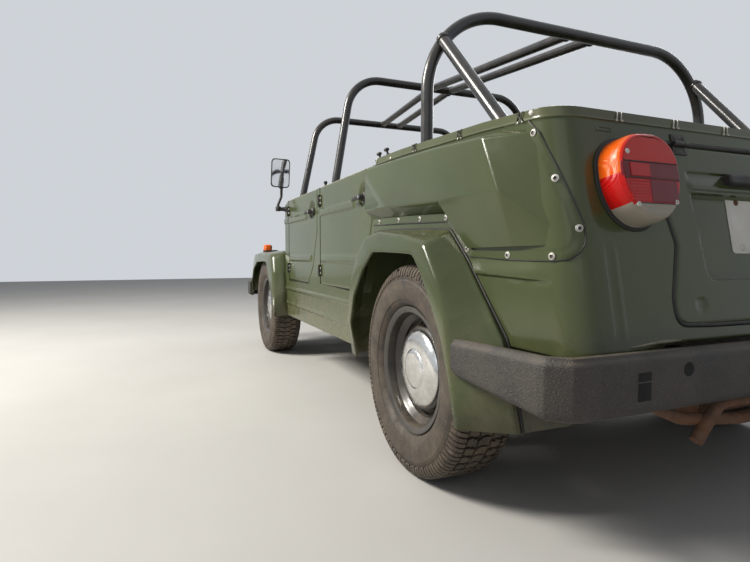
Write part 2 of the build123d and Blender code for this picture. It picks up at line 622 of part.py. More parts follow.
def make_number_plate():
    half = PLATE_WIDTH / 2
    return on_tail(half, half, TAIL_MID_Z - PLATE_HEIGHT / 2, TAIL_MID_Z + PLATE_HEIGHT / 2, PLATE_THICKNESS,
                   RECESS_DEPTH - PLATE_THICKNESS)


# Lamps
def make_tail_lamps():
    plane = Plane(origin=(TAIL_LAMP_X, tail_y(TAIL_LAMP_Z), TAIL_LAMP_Z), x_dir=(-1, 0, 0), z_dir=TAIL_PLANE.z_dir)
    outline = RectangleRounded(TAIL_LAMP_WIDTH, TAIL_LAMP_HEIGHT, TAIL_LAMP_CORNER)
    lens = extrude(plane.offset(-WALL) * outline, amount=TAIL_LAMP_DEPTH + WALL)
    lens = fillet(lens.faces().sort_by(Axis.Y)[-1].edges(), TAIL_LAMP_DEPTH / 3)
    return both_sides(lens - rear_hull(0))


def make_headlamps():
    face_y = NOSE_Y - HEADLAMP_LENGTH / 2
    barrel = rod((HEADLAMP_X, face_y, HEADLAMP_Z), (HEADLAMP_X, NOSE_Y + 80, HEADLAMP_Z), HEADLAMP_RADIUS)
    barrel = fillet(barrel.faces().sort_by(Axis.Y)[0].edges(), HEADLAMP_LENGTH / 4)
    return both_sides(barrel - front_fender_block(0) - front_hull(0))


def make_indicators():
    y = FRONT_AXLE_Y - INDICATOR_AHEAD
    half = INDICATOR_LENGTH / 2
    body = block((INDICATOR_X - INDICATOR_WIDTH / 2, INDICATOR_X + INDICATOR_WIDTH / 2), (y - half, y + half),
                 (WHEELHOUSE_TOP_Z - WALL, INDICATOR_TOP_Z))
    body = fillet(body.edges().filter_by(Axis.Z), INDICATOR_WIDTH / 3)
    return both_sides(body - front_fender_block(0))


# Bumpers: a pressed bar that turns round each corner, with its brackets
def bumper(end_y, wing_length, facing):
    wing_y = end_y - facing * wing_length
    x = FENDER_X
    outer = [(x, wing_y), (x, end_y - facing * BUMPER_CORNER), (x - BUMPER_CORNER, end_y)]
    inner = [(x - BUMPER_SIDE - BUMPER_CORNER, end_y - facing * BUMPER_DEPTH),
             (x - BUMPER_SIDE, end_y - facing * (BUMPER_DEPTH + BUMPER_CORNER)), (x - BUMPER_SIDE, wing_y)]
    half = outer + [(0, end_y)] + [(0, end_y - facing * BUMPER_DEPTH)] + inner
    left = plan_slab(half, BUMPER_BOTTOM_Z, BUMPER_TOP_Z)
    return left + mirrored(left)


def make_rear_bumper():
    bar = bumper(REAR_END_Y, REAR_WING, 1)
    inner_y = REAR_END_Y - BUMPER_DEPTH
    bracket = block((BRACKET_X - BRACKET_WIDTH / 2, BRACKET_X + BRACKET_WIDTH / 2), (inner_y - 60, inner_y),
                    (BUMPER_BOTTOM_Z + 20, TAIL_BOTTOM_Z))
    slot = block((SLOT_X - 22, SLOT_X + 22), (inner_y, REAR_END_Y), (SLOT_Z - 33, SLOT_Z + 33))
    hole = rod((HOLE_X, inner_y, HOLE_Z), (HOLE_X, REAR_END_Y, HOLE_Z), HOLE_RADIUS)
    for piece in (bracket, mirrored(bracket)):
        bar += piece
    for piece in (slot, hole, rear_fender_block(3)):
        bar = bar - piece - mirrored(piece)
    return bar


def make_front_bumper():
    bar = bumper(FRONT_END_Y, FRONT_WING, -1)
    bracket = block((BRACKET_X - BRACKET_WIDTH / 2, BRACKET_X + BRACKET_WIDTH / 2),
                    (FRONT_END_Y + BUMPER_DEPTH, NOSE_Y + 40), (BUMPER_BOTTOM_Z + 25, BUMPER_TOP_Z - 25))
    return bar + (bracket - front_hull(0)) + mirrored(bracket - front_hull(0))


# Roll cage: each hoop's y, half its corners as (x, z), and the radius of each corner of that half
HOOPS = {
    "rear_hoop": (REAR_HOOP_Y, [(REAR_HOOP_X, DECK_Z), (REAR_HOOP_X, REAR_HOOP_TOP_Z)], [290]),
    "middle_hoop": (MIDDLE_HOOP_Y, [(HOOP_FOOT_X, FLOOR_TOP_Z), (HOOP_FOOT_X, 1100), (542, MIDDLE_HOOP_TOP_Z)],
                    [400, 190]),
    "front_hoop": (FRONT_HOOP_Y, [(HOOP_FOOT_X, FLOOR_TOP_Z), (HOOP_FOOT_X, 1060), (519, FRONT_HOOP_TOP_Z)],
                   [400, 170]),
}


def make_hoop(name):
    y, half, bends = HOOPS[name]
    left = [(x, y, z) for x, z in half]
    right = [(-x, y, z) for x, z in reversed(half)]
    return tube(left + right, TUBE_RADIUS, bends + bends[::-1])


def make_cage_bars(hoops):
    bars = []
    for x in (-BAR_X, BAR_X):
        bars.append(rod((x, REAR_HOOP_Y, REAR_HOOP_TOP_Z), (x, MIDDLE_HOOP_Y, MIDDLE_HOOP_TOP_Z), BAR_RADIUS))
        bars.append(rod((x, MIDDLE_HOOP_Y, MIDDLE_HOOP_TOP_Z), (x, FRONT_HOOP_Y, FRONT_HOOP_TOP_Z), BAR_RADIUS))
    brace = rod((REAR_HOOP_X - 30, REAR_HOOP_Y, BRACE_TOP_Z), (TAIL_CORNER_BOTTOM_X - 32, TAIL_MID_Y - 120, DECK_Z - 40),
                TUBE_RADIUS)
    bars += [brace, mirrored(brace)]
    under_deck = block((-SIDE_X, SIDE_X), (0, REAR_END_Y), (0, DECK_Z))
    return apart([bar - hoops["rear_hoop"] - hoops["middle_hoop"] - hoops["front_hoop"] - under_deck for bar in bars])


# Wheels: (radius, distance from the middle plane) sections, turned about the axle
def turned(section):
    profile = Plane.XY * Polygon(*[(x, r) for r, x in section], align=None)
    return revolve(profile, axis=Axis.X)


def make_tyre():
    half = TYRE_WIDTH / 2
    tread = TYRE_RADIUS
    bead = RIM_SEAT_RADIUS + SEAT_GAP
    side = [(bead, RIM_WIDTH / 2 - RIM_WALL - SEAT_GAP), (RIM_RADIUS + SEAT_GAP, RIM_WIDTH / 2 - RIM_WALL - SEAT_GAP),
            (RIM_RADIUS + 10, half - 12), (RIM_RADIUS + 40, half - 2), (268, half), (tread - 46, half - 4),
            (tread - 12, half - 16), (tread - 3, half - 28), (tread, half - 48)]
    return turned(side + [(r, -x) for r, x in reversed(side)])


def make_rim(side):
    half = RIM_WIDTH / 2
    well = RIM_SEAT_RADIUS - 24
    wall = RIM_WALL
    outside = [(RIM_RADIUS, half), (RIM_RADIUS, half - wall), (RIM_SEAT_RADIUS, half - wall),
               (RIM_SEAT_RADIUS - 2, half - 34), (well, half - 48)]
    inside = [(well - wall, half - 46), (RIM_SEAT_RADIUS - 2 - wall, half - 32), (RIM_SEAT_RADIUS - wall, half)]
    barrel = turned(outside + [(r, -x) for r, x in reversed(outside)] + [(r, -x) for r, x in reversed(inside)] + inside)
    disc = DISC_OFFSET
    step = DISC_THICKNESS
    centre = turned([(0, disc), (138, disc), (150, disc - 14), (well - 3, disc - 24), (well - 3, disc - 24 - step),
                     (146, disc - 14 - step), (132, disc - step), (0, disc - step)])
    for i in range(DISC_SLOTS):
        slot = Pos(disc, 0, 0) * Rot(360 / DISC_SLOTS * (i + 0.5), 0, 0) * Pos(0, 0, 151) * Box(80, 26, 12)
        centre -= slot
    drum = Pos(disc - step - DRUM_WIDTH / 2, 0, 0) * Rot(0, 90, 0) * Cylinder(DRUM_RADIUS, DRUM_WIDTH)
    rim = barrel + centre + drum
    rim -= Rot(0, 90, 0) * Cylinder(SPINDLE_RADIUS + SPINDLE_CLEARANCE, RIM_WIDTH)
    return rim if side > 0 else mirrored(rim)


def make_hubcap(side):
    back = DISC_OFFSET + SEAT_GAP
    top = back + HUBCAP_HEIGHT
    r = HUBCAP_RADIUS
    cap = turned([(0, back), (r, back), (r, back + 6), (r - 14, top - 4), (r - 40, top), (66, top), (60, top + 5),
                  (30, top + 7), (0, top + 7)])
    return cap if side > 0 else mirrored(cap)


# Knuckles turn about upright pins between the axle's arms, and carry the spindles
def spindle(side, y):
    start = WHEEL_X - RIM_WIDTH / 2 - 40
    return rod((side * start, y, WHEEL_Z), (side * (WHEEL_X + DISC_OFFSET - 0.5), y, WHEEL_Z), SPINDLE_RADIUS)


def make_knuckle(side):
    upright = Pos(side * KINGPIN_X, FRONT_AXLE_Y, WHEEL_Z) * Cylinder(24, 2 * STEER_HALF_HEIGHT)
    return upright + (spindle(side, FRONT_AXLE_Y) & block((side * KINGPIN_X - SIDE_X * (side < 0), side * KINGPIN_X + SIDE_X * (side > 0)),
                                                         (FRONT_AXLE_Y - 30, FRONT_AXLE_Y + 30), (0, BELT_Z)))


def make_front_axle():
    tube_y = FRONT_AXLE_Y - AXLE_TUBE_AHEAD
    arm_z = STEER_HALF_HEIGHT + SEAT_GAP
    axle = Part()
    for z in (WHEEL_Z - AXLE_TUBE_SPREAD, WHEEL_Z + AXLE_TUBE_SPREAD):
        axle += rod((-AXLE_TUBE_HALF, tube_y, z), (AXLE_TUBE_HALF, tube_y, z), AXLE_TUBE_RADIUS)
    for side in (-1, 1):
        tower = sorted((side * (AXLE_TUBE_HALF - 140), side * (AXLE_TUBE_HALF - 100)))
        axle += block(tower, (tube_y - 35, tube_y + 35), (WHEEL_Z - 110, AXLE_ROOM_Z))
        end = sorted((side * (AXLE_TUBE_HALF - 22), side * (AXLE_TUBE_HALF + 8)))
        axle += block(end, (tube_y - 30, tube_y + 30), (WHEEL_Z - arm_z - 26, WHEEL_Z + arm_z + 26))
        for low, high in ((-arm_z - 26, -arm_z), (arm_z, arm_z + 26)):
            heights = (WHEEL_Z + low, WHEEL_Z + high)
            axle += block(end, (tube_y, FRONT_AXLE_Y + 20), heights)
            reach = sorted((side * (AXLE_TUBE_HALF - 22), side * (KINGPIN_X + 20)))
            axle += block(reach, (FRONT_AXLE_Y - 20, FRONT_AXLE_Y + 20), heights)
    return axle


def make_rear_axle():
    gearbox = block((-GEARBOX_HALF_WIDTH, GEARBOX_HALF_WIDTH), (REAR_AXLE_Y - 330, ENGINE_Y), (WHEEL_Z - 130, WHEEL_Z + 90))
    inner = WHEEL_X - RIM_WIDTH / 2 - 30
    axle = gearbox + rod((-inner, REAR_AXLE_Y, WHEEL_Z), (inner, REAR_AXLE_Y, WHEEL_Z), 34)
    for side in (-1, 1):
        axle += spindle(side, REAR_AXLE_Y)
        arm = sorted((side * 440, side * 480))
        axle += block(arm, (HEELBOARD_Y + WALL + 160, REAR_AXLE_Y + 30), (WHEEL_Z - 34, WHEEL_Z + 34))
    cross = rod((-500, HEELBOARD_Y + WALL + 190, WHEEL_Z), (500, HEELBOARD_Y + WALL + 190, WHEEL_Z), 40)
    horn = block((GEARBOX_HALF_WIDTH, GEARBOX_HALF_WIDTH + 45), (HEELBOARD_Y + WALL, REAR_AXLE_Y - 60),
                 (FLOOR_Z, FLOOR_Z + 80))
    return axle + cross - horn - mirrored(horn)


def make_engine_block():
    return block((-ENGINE_HALF_WIDTH, ENGINE_HALF_WIDTH), (ENGINE_Y, ENGINE_Y + ENGINE_LENGTH),
                 (ENGINE_BOTTOM_Z, ENGINE_TOP_Z))


# Silencer behind the engine on two stub pipes
def make_exhaust():
    y = ENGINE_Y + ENGINE_LENGTH + MUFFLER_RADIUS + 12
    silencer = rod((-300, y, MUFFLER_Z), (300, y, MUFFLER_Z), MUFFLER_RADIUS)
    for x in (-220, 220):
        silencer += rod((x, ENGINE_Y + ENGINE_LENGTH, MUFFLER_Z), (x, y, MUFFLER_Z), 20)
    return silencer


# Bent tubes under the rear bumper, with a tow eye plate
def make_tow_bar():
    y = REAR_END_Y - 62
    bow = tube([(-545, y, 398), (-400, y, 335), (-200, y, 312), (200, y, 312), (400, y, 335), (545, y, 398)],
               TOW_TUBE_RADIUS, [120, 400, 400, 120])
    hook = tube([(-368, y + 18, 282), (-292, y + 18, 366), (292, y + 18, 366), (368, y + 18, 282)], TOW_TUBE_RADIUS, [48, 48])
    plate = block((-40, 40), (y - 40, REAR_END_Y - 1), (312 - TOW_PLATE_THICKNESS / 2, 312 + TOW_PLATE_THICKNESS / 2))
    eye = Pos(0, REAR_END_Y - 27, 312) * Cylinder(TOW_EYE_RADIUS, 2 * TOW_PLATE_THICKNESS)
    bar = bow + hook + plate - eye
    return bar - block((-SIDE_X, SIDE_X), (y - 100, REAR_END_Y), (BUMPER_BOTTOM_Z, BELT_Z))


# Seats: a cushion and a back on a plain frame each, and the bench
def make_front_seats():
    pieces = []
    for x in (-COLUMN_X, COLUMN_X):
        wide = (x - SEAT_HALF_WIDTH, x + SEAT_HALF_WIDTH)
        back_y = SEAT_FRONT_Y + SEAT_DEPTH + 3
        pieces.append(block(wide, (SEAT_FRONT_Y, SEAT_FRONT_Y + SEAT_DEPTH), (SEAT_Z, SEAT_Z + CUSHION_THICKNESS)))
        pieces.append(block(wide, (back_y, back_y + SEAT_BACK_THICKNESS), (SEAT_Z, SEAT_TOP_Z)))
    return apart(pieces)


def make_seat_frames():
    frames = []
    for x in (-COLUMN_X, COLUMN_X):
        frames.append(block((x - SEAT_HALF_WIDTH + 40, x + SEAT_HALF_WIDTH - 40),
                            (SEAT_FRONT_Y + 30, SEAT_FRONT_Y + SEAT_DEPTH + SEAT_BACK_THICKNESS - 20),
                            (FLOOR_TOP_Z, SEAT_Z - SEAT_GAP)))
    return apart(frames)


def make_rear_bench():
    half = BENCH_HALF_WIDTH - 4
    cushion = block((-half, half), (HEELBOARD_Y + 5, BULKHEAD_Y - 100), (BENCH_Z + SEAT_GAP, BENCH_Z + 120))
    back = block((-half, half), (BULKHEAD_Y - 97, BULKHEAD_Y - SEAT_GAP), (BENCH_Z + SEAT_GAP, SEAT_TOP_Z + 20))
    return apart([cushion, back])


def make_dashboard():
    front = FLOOR_FRONT_Y + WALL
    return block((-FRAME_X, FRAME_X), (front, front + 40), (830, 1010))


# Steering wheel on the end of its column
STEERING_PLANE = Plane(origin=(COLUMN_X, STEERING_WHEEL_Y, STEERING_WHEEL_Z), x_dir=(1, 0, 0),
                       z_dir=(0, cos(radians(STEERING_TILT)), sin(radians(STEERING_TILT))))


def make_steering_wheel():
    wheel = Torus(STEERING_WHEEL_RADIUS, STEERING_RIM_RADIUS) + Cylinder(36, 40)
    wheel += Box(2 * STEERING_WHEEL_RADIUS, 24, 10)
    return STEERING_PLANE * wheel


def make_steering_column():
    start = STEERING_PLANE.origin - STEERING_PLANE.z_dir * (20 + SEAT_GAP)
    end = STEERING_PLANE.origin - STEERING_PLANE.z_dir * 480
    return rod(tuple(start), tuple(end), COLUMN_RADIUS) - block((0, SIDE_X), (NOSE_Y, FLOOR_FRONT_Y + WALL), (0, BELT_Z))


# Doors, each with its pressed ribs, handle and moving hinge halves
def make_door(points):
    door = side_slab(points, SIDE_X - DOOR_THICKNESS, SIDE_X)
    front = points[0][0]
    rear = points[-1][0]
    slant = 0.42 * (rear - front) if points is FRONT_DOOR else 0.17 * (rear - front)
    door += rib(front, rear - HANDLE_SETBACK - HANDLE_LENGTH - 12, *BELT_RIB)
    door += rib(front + 22, rear - slant, *DOOR_RIB)
    for z in DOOR_HINGE_HEIGHTS:
        door += hinge((SIDE_X + HINGE_STANDOFF, front, z), (0, 0, 1), (1, 0, 0))[1]
    grip_end = rear - HANDLE_SETBACK
    door += block((SIDE_X + HANDLE_STAND_OFF - 14, SIDE_X + HANDLE_STAND_OFF),
                  (grip_end - HANDLE_LENGTH, grip_end), (HANDLE_Z - 11, HANDLE_Z + 11))
    door += rod((SIDE_X, grip_end - 22, HANDLE_Z), (SIDE_X + HANDLE_STAND_OFF - 2, grip_end - 22, HANDLE_Z), 20)
    return door


# Mirrors on bent arms from the cowl sides
def make_mirrors():
    outline = Plane(origin=(MIRROR_X, MIRROR_Y, MIRROR_Z), x_dir=(-1, 0, 0), z_dir=(0, 1, 0))
    head = extrude(outline * RectangleRounded(MIRROR_WIDTH, MIRROR_HEIGHT, 30), amount=MIRROR_DEPTH / 2, both=True)
    arm = tube([(SIDE_X, MIRROR_Y, 1018), (SIDE_X + 62, MIRROR_Y, 1018), (SIDE_X + 50, MIRROR_Y, MIRROR_Z - 80)],
               MIRROR_ARM_RADIUS, [24])
    foot = rod((SIDE_X, MIRROR_Y, 1018), (SIDE_X + 12, MIRROR_Y, 1018), 18)
    return both_sides(head + arm + foot)


hoops = {name: make_hoop(name) for name in HOOPS}
nodes = {
    "floor_pan": make_floor_pan(),
    "side_frames": make_side_frames(),
    "front_body": make_front_body(),
    "rear_body": make_rear_body(),
    "front_fenders": make_front_fenders(),
    "rear_fenders": make_rear_fenders(),
    "air_intakes": make_air_intakes(),
    "front_bumper": make_front_bumper(),
    "rear_bumper": make_rear_bumper(),
    "tow_bar": make_tow_bar(),
    "headlamps": make_headlamps(),
    "indicators": make_indicators(),
    "tail_lamps": make_tail_lamps(),
    "number_plate": make_number_plate(),
    "engine_lid": make_engine_lid(),
    "front_lid": make_front_lid(),
    "windscreen_frame": make_windscreen_frame(),
    "windscreen_glass": make_windscreen_glass(),
    "cage_bars": make_cage_bars(hoops),
    "front_axle": make_front_axle(),
    "rear_axle": make_rear_axle(),
    "engine_block": make_engine_block(),
    "exhaust": make_exhaust(),
    "seat_frames": make_seat_frames(),
    "front_seats": make_front_seats(),
    "rear_bench": make_rear_bench(),
    "dashboard": make_dashboard(),
    "steering_column": make_steering_column(),
    "steering_wheel": make_steering_wheel(),
    "mirrors": make_mirrors(),
}
nodes.update(hoops)
for side_name, side in (("left", 1), ("right", -1)):
    nodes[f"knuckle_{side_name}"] = make_knuckle(side)
    for end_name, points in DOORS.items():
        door = make_door(points)
        nodes[f"{end_name}_door_{side_name}"] = door if side > 0 else mirrored(door)
    for end_name, axle_y in (("front", FRONT_AXLE_Y), ("rear", REAR_AXLE_Y)):
        place = Pos(side * WHEEL_X, axle_y, WHEEL_Z)
        nodes[f"tyre_{end_name}_{side_name}"] = place * make_tyre()
        nodes[f"rim_{end_name}_{side_name}"] = place * make_rim(side)
        nodes[f"hubcap_{end_name}_{side_name}"] = place * make_hubcap(side)

os.makedirs("parts", exist_ok=True)
for name, shape in nodes.items():
    export_step(shape, os.path.join("parts", name + ".step"))
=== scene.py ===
import math

import bmesh
import bpy
from mathutils import Matrix, Vector, kdtree


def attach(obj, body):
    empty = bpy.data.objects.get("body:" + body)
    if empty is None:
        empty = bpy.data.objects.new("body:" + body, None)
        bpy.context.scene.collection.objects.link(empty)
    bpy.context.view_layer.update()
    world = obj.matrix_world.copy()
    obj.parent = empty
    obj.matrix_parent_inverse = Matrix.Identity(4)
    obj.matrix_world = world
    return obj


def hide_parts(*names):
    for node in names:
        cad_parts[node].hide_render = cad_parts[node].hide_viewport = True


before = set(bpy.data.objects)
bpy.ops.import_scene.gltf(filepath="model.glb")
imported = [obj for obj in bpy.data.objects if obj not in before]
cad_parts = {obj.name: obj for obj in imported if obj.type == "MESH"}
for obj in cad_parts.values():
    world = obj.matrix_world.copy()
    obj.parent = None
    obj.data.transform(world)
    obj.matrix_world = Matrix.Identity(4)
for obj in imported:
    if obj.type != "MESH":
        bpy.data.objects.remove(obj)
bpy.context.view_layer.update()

MM = 0.001
scene = bpy.context.scene
scene.view_settings.view_transform = "Standard"

# Materials


class Tree:
    """Builds nodes in one node tree."""

    def __init__(self, tree):
        self.tree = tree

    def put(self, socket, value):
        """Sets a socket's number or colour, or links another node's output to it."""
        if isinstance(value, bpy.types.NodeSocket):
            self.tree.links.new(value, socket)
        elif socket.type == "RGBA":
            socket.default_value = (*value, 1.0)
        else:
            socket.default_value = value

    def add(self, kind, **values):
        """Node with its sockets and settings; a socket's name is written with _ for a space."""
        node = self.tree.nodes.new("ShaderNode" + kind)
        for key, value in values.items():
            socket = key.replace("_", " ")
            if socket in node.inputs.keys():
                self.put(node.inputs[socket], value)
            else:
                setattr(node, key, value)
        return node

    def ramp(self, source, low, high, a=0.0, b=1.0):
        node = self.add("MapRange", From_Min=low, From_Max=high, To_Min=a, To_Max=b, Value=source)
        return node.outputs["Result"]

    def math(self, op, a, b):
        node = self.add("Math", operation=op)
        self.put(node.inputs[0], a)
        self.put(node.inputs[1], b)
        return node.outputs[0]

    def mix(self, fac, a, b):
        node = self.add("Mix", data_type="RGBA")
        for i, value in ((0, fac), (6, a), (7, b)):
            self.put(node.inputs[i], value)
        return node.outputs[2]


class Nodes(Tree):
    """One material with its shader."""

    def __init__(self, name):
        self.mat = bpy.data.materials.new(name)
        self.mat.use_nodes = True
        super().__init__(self.mat.node_tree)
        self.shader = self.tree.nodes["Principled BSDF"]

    def set(self, **values):
        for key, value in values.items():
            self.put(self.shader.inputs[key.replace("_", " ")], value)

    def coords(self, scale=(1.0, 1.0, 1.0)):
        place = self.add("TexCoord").outputs["Object"]
        return self.add("Mapping", Scale=scale, Vector=place).outputs["Vector"]

    def noise(self, scale, detail=4.0, rough=0.55, stretch=(1.0, 1.0, 1.0)):
        node = self.add("TexNoise", Scale=scale, Detail=detail, Roughness=rough, Vector=self.coords(stretch))
        return node.outputs["Fac"]

    def blotch(self, scale, detail, rough, low, high, a=0.0, b=1.0):
        """Noise cut to a range."""
        return self.ramp(self.noise(scale, detail, rough), low, high, a, b)

    def upward(self, low, high, a=0.0, b=1.0):
        """How much the surface faces up."""
        split = self.add("SeparateXYZ", Vector=self.add("NewGeometry").outputs["Normal"])
        return self.ramp(split.outputs["Z"], low, high, a, b)

    def bump(self, layers, edge=0.0):
        """layers: (height, strength, distance in metres); edge: rounding radius of sharp edges."""
        normal = self.add("Bevel", samples=6, Radius=edge).outputs[0] if edge else None
        for height, strength, distance in layers:
            node = self.add("Bump", Strength=strength, Distance=distance, Height=height)
            if normal:
                self.put(node.inputs["Normal"], normal)
            normal = node.outputs[0]
        self.put(self.shader.inputs["Normal"], normal)


DUST = (0.30, 0.235, 0.16)


def paint(name, color, deep, coat=0.3, dusty=1.0):
    m = Nodes(name)
    tone = m.mix(m.blotch(2.3, 3, 0.55, 0.35, 0.7), color, deep)
    swirl = m.ramp(m.noise(38.0, 6, 0.75, (1.0, 1.0, 2.2)), 0.52, 0.72, 0.0, 0.05)
    tone = m.mix(swirl, tone, tuple(c * 1.7 + 0.02 for c in color))
    place = m.add("SeparateXYZ", Vector=m.add("TexCoord").outputs["Object"])
    low = m.ramp(place.outputs["Z"], 0.62, 0.28)
    film = m.math("MAXIMUM", m.math("MULTIPLY", m.upward(0.45, 1.0), 0.22), m.math("MULTIPLY", low, 0.34))
    patch = m.math("MULTIPLY", film, m.blotch(9.0, 7, 0.7, 0.34, 0.66))
    tone = m.mix(m.math("MULTIPLY", patch, dusty), tone, DUST)
    speck = m.blotch(420.0, 2, 0.5, 0.68, 0.78, 0.0, 0.35 * dusty)
    tone = m.mix(m.math("MULTIPLY", speck, m.blotch(5.0, 3, 0.55, 0.4, 0.65)), tone, DUST)
    rough = m.math("ADD", m.blotch(14.0, 6, 0.65, 0.3, 0.75, 0.17, 0.27), m.math("MULTIPLY", patch, 0.5))
    m.set(Base_Color=tone, Roughness=rough, Coat_Weight=coat * 0.8, Coat_Roughness=0.06,
          Specular_IOR_Level=0.3)
    m.bump([(m.noise(16.0, 2, 0.4), 0.10, 0.004), (m.noise(260.0, 3, 0.5), 0.05, 0.0006)], 0.003)
    return m.mat


def plain(name, color, second, rough=(0.35, 0.55), grain=120.0, depth=0.0004, strength=0.25, metallic=0.0,
          coat=0.0, edge=0.0015, dust=0.0, blotch=6.0):
    m = Nodes(name)
    tone = m.mix(m.blotch(blotch, 6, 0.65, 0.35, 0.68), color, second)
    if dust:
        cover = m.math("MULTIPLY", m.upward(0.1, 1.0, 0.25), m.blotch(11.0, 8, 0.72, 0.36, 0.7, 0.0, dust))
        tone = m.mix(cover, tone, DUST)
    m.set(Base_Color=tone, Roughness=m.blotch(blotch * 4, 5, 0.6, 0.3, 0.7, *rough), Metallic=metallic,
          Coat_Weight=coat, Coat_Roughness=0.12)
    m.bump([(m.noise(grain, 5, 0.6), strength, depth)], edge)
    return m.mat


def bumper_coating():
    m = Nodes("bumper_coating")
    cell = m.noise(330.0, 2, 0.5)
    worn = m.math("MULTIPLY", m.blotch(6.0, 6, 0.7, 0.3, 0.62), m.upward(0.2, 1.0, 0.22, 0.75))
    tone = m.mix(m.ramp(cell, 0.50, 0.60), (0.010, 0.010, 0.011), (0.055, 0.050, 0.048))
    tone = m.mix(m.math("MULTIPLY", worn, 0.55), tone, (0.26, 0.21, 0.15))
    m.set(Base_Color=tone, Roughness=m.ramp(cell, 0.35, 0.65, 0.42, 0.68), Specular_IOR_Level=0.55)
    m.bump([(cell, 0.9, 0.0022), (m.noise(900.0, 2, 0.5), 0.35, 0.0008)], 0.006)
    return m.mat


def rubber(name, dusty):
    m = Nodes(name)
    base = m.mix(m.blotch(7.0, 5, 0.6, 0.35, 0.7), (0.022, 0.021, 0.020), (0.043, 0.038, 0.033))
    dust = m.math("MULTIPLY", m.blotch(16.0, 8, 0.75, 0.33, 0.66), dusty)
    tone = m.mix(dust, base, (0.20, 0.145, 0.095))
    tone = m.mix(m.blotch(300.0, 3, 0.6, 0.58, 0.7, 0.0, 0.5), tone, (0.27, 0.20, 0.135))
    m.set(Base_Color=tone, Roughness=m.blotch(30.0, 5, 0.55, 0.3, 0.7, 0.5, 0.82))
    m.bump([(m.noise(180.0, 5, 0.6), 0.35, 0.0008)], 0.0012)
    return m.mat


def chrome():
    m = Nodes("hubcap_chrome")
    haze = m.math("MULTIPLY", m.blotch(18.0, 8, 0.75, 0.40, 0.68), 0.55)
    m.set(Base_Color=m.mix(haze, (0.80, 0.80, 0.79), (0.36, 0.31, 0.25)),
          Roughness=m.blotch(26.0, 8, 0.7, 0.35, 0.7, 0.10, 0.36), Metallic=1.0)
    m.bump([(m.noise(60.0, 4, 0.5), 0.06, 0.0006)])
    return m.mat


def lens(name, color, second, cells=190.0):
    m = Nodes(name)
    bands = [m.add("TexWave", wave_type="BANDS", bands_direction=way, wave_profile="SIN", Scale=cells,
                   Vector=m.coords()).outputs["Fac"] for way in "XZ"]
    prism = m.math("MULTIPLY", *bands)
    tone = m.mix(m.ramp(prism, 0.1, 0.8), color, second)
    tone = m.mix(m.blotch(22.0, 6, 0.7, 0.6, 0.8, 0.0, 0.06), tone, (0.45, 0.33, 0.24))
    m.set(Base_Color=tone, Roughness=m.blotch(25.0, 6, 0.7, 0.35, 0.7, 0.08, 0.2), Coat_Weight=0.1,
          Coat_Roughness=0.04, Specular_IOR_Level=0.25)
    m.bump([(prism, 0.35, 0.0008)])
    return m.mat


def glass(name, tint, rough=0.02):
    m = Nodes(name)
    m.set(Base_Color=m.mix(m.blotch(9.0, 6, 0.7, 0.45, 0.75, 0.0, 0.25), tint, (0.62, 0.58, 0.5)),
          Roughness=m.blotch(12.0, 6, 0.7, 0.45, 0.75, rough, rough + 0.12), Transmission_Weight=1.0,
          IOR=1.45)
    return m.mat


def vinyl():
    m = Nodes("seat_vinyl")
    grain = m.add("TexVoronoi", Scale=420.0, Vector=m.coords()).outputs["Distance"]
    m.set(Base_Color=m.mix(m.blotch(5.0, 5, 0.55, 0.35, 0.7), (0.020, 0.020, 0.021), (0.042, 0.040, 0.038)),
          Roughness=m.ramp(grain, 0.0, 0.6, 0.38, 0.55), Sheen_Weight=0.1)
    m.bump([(grain, 0.30, 0.0006), (m.noise(14.0, 4), 0.3, 0.004)])
    return m.mat


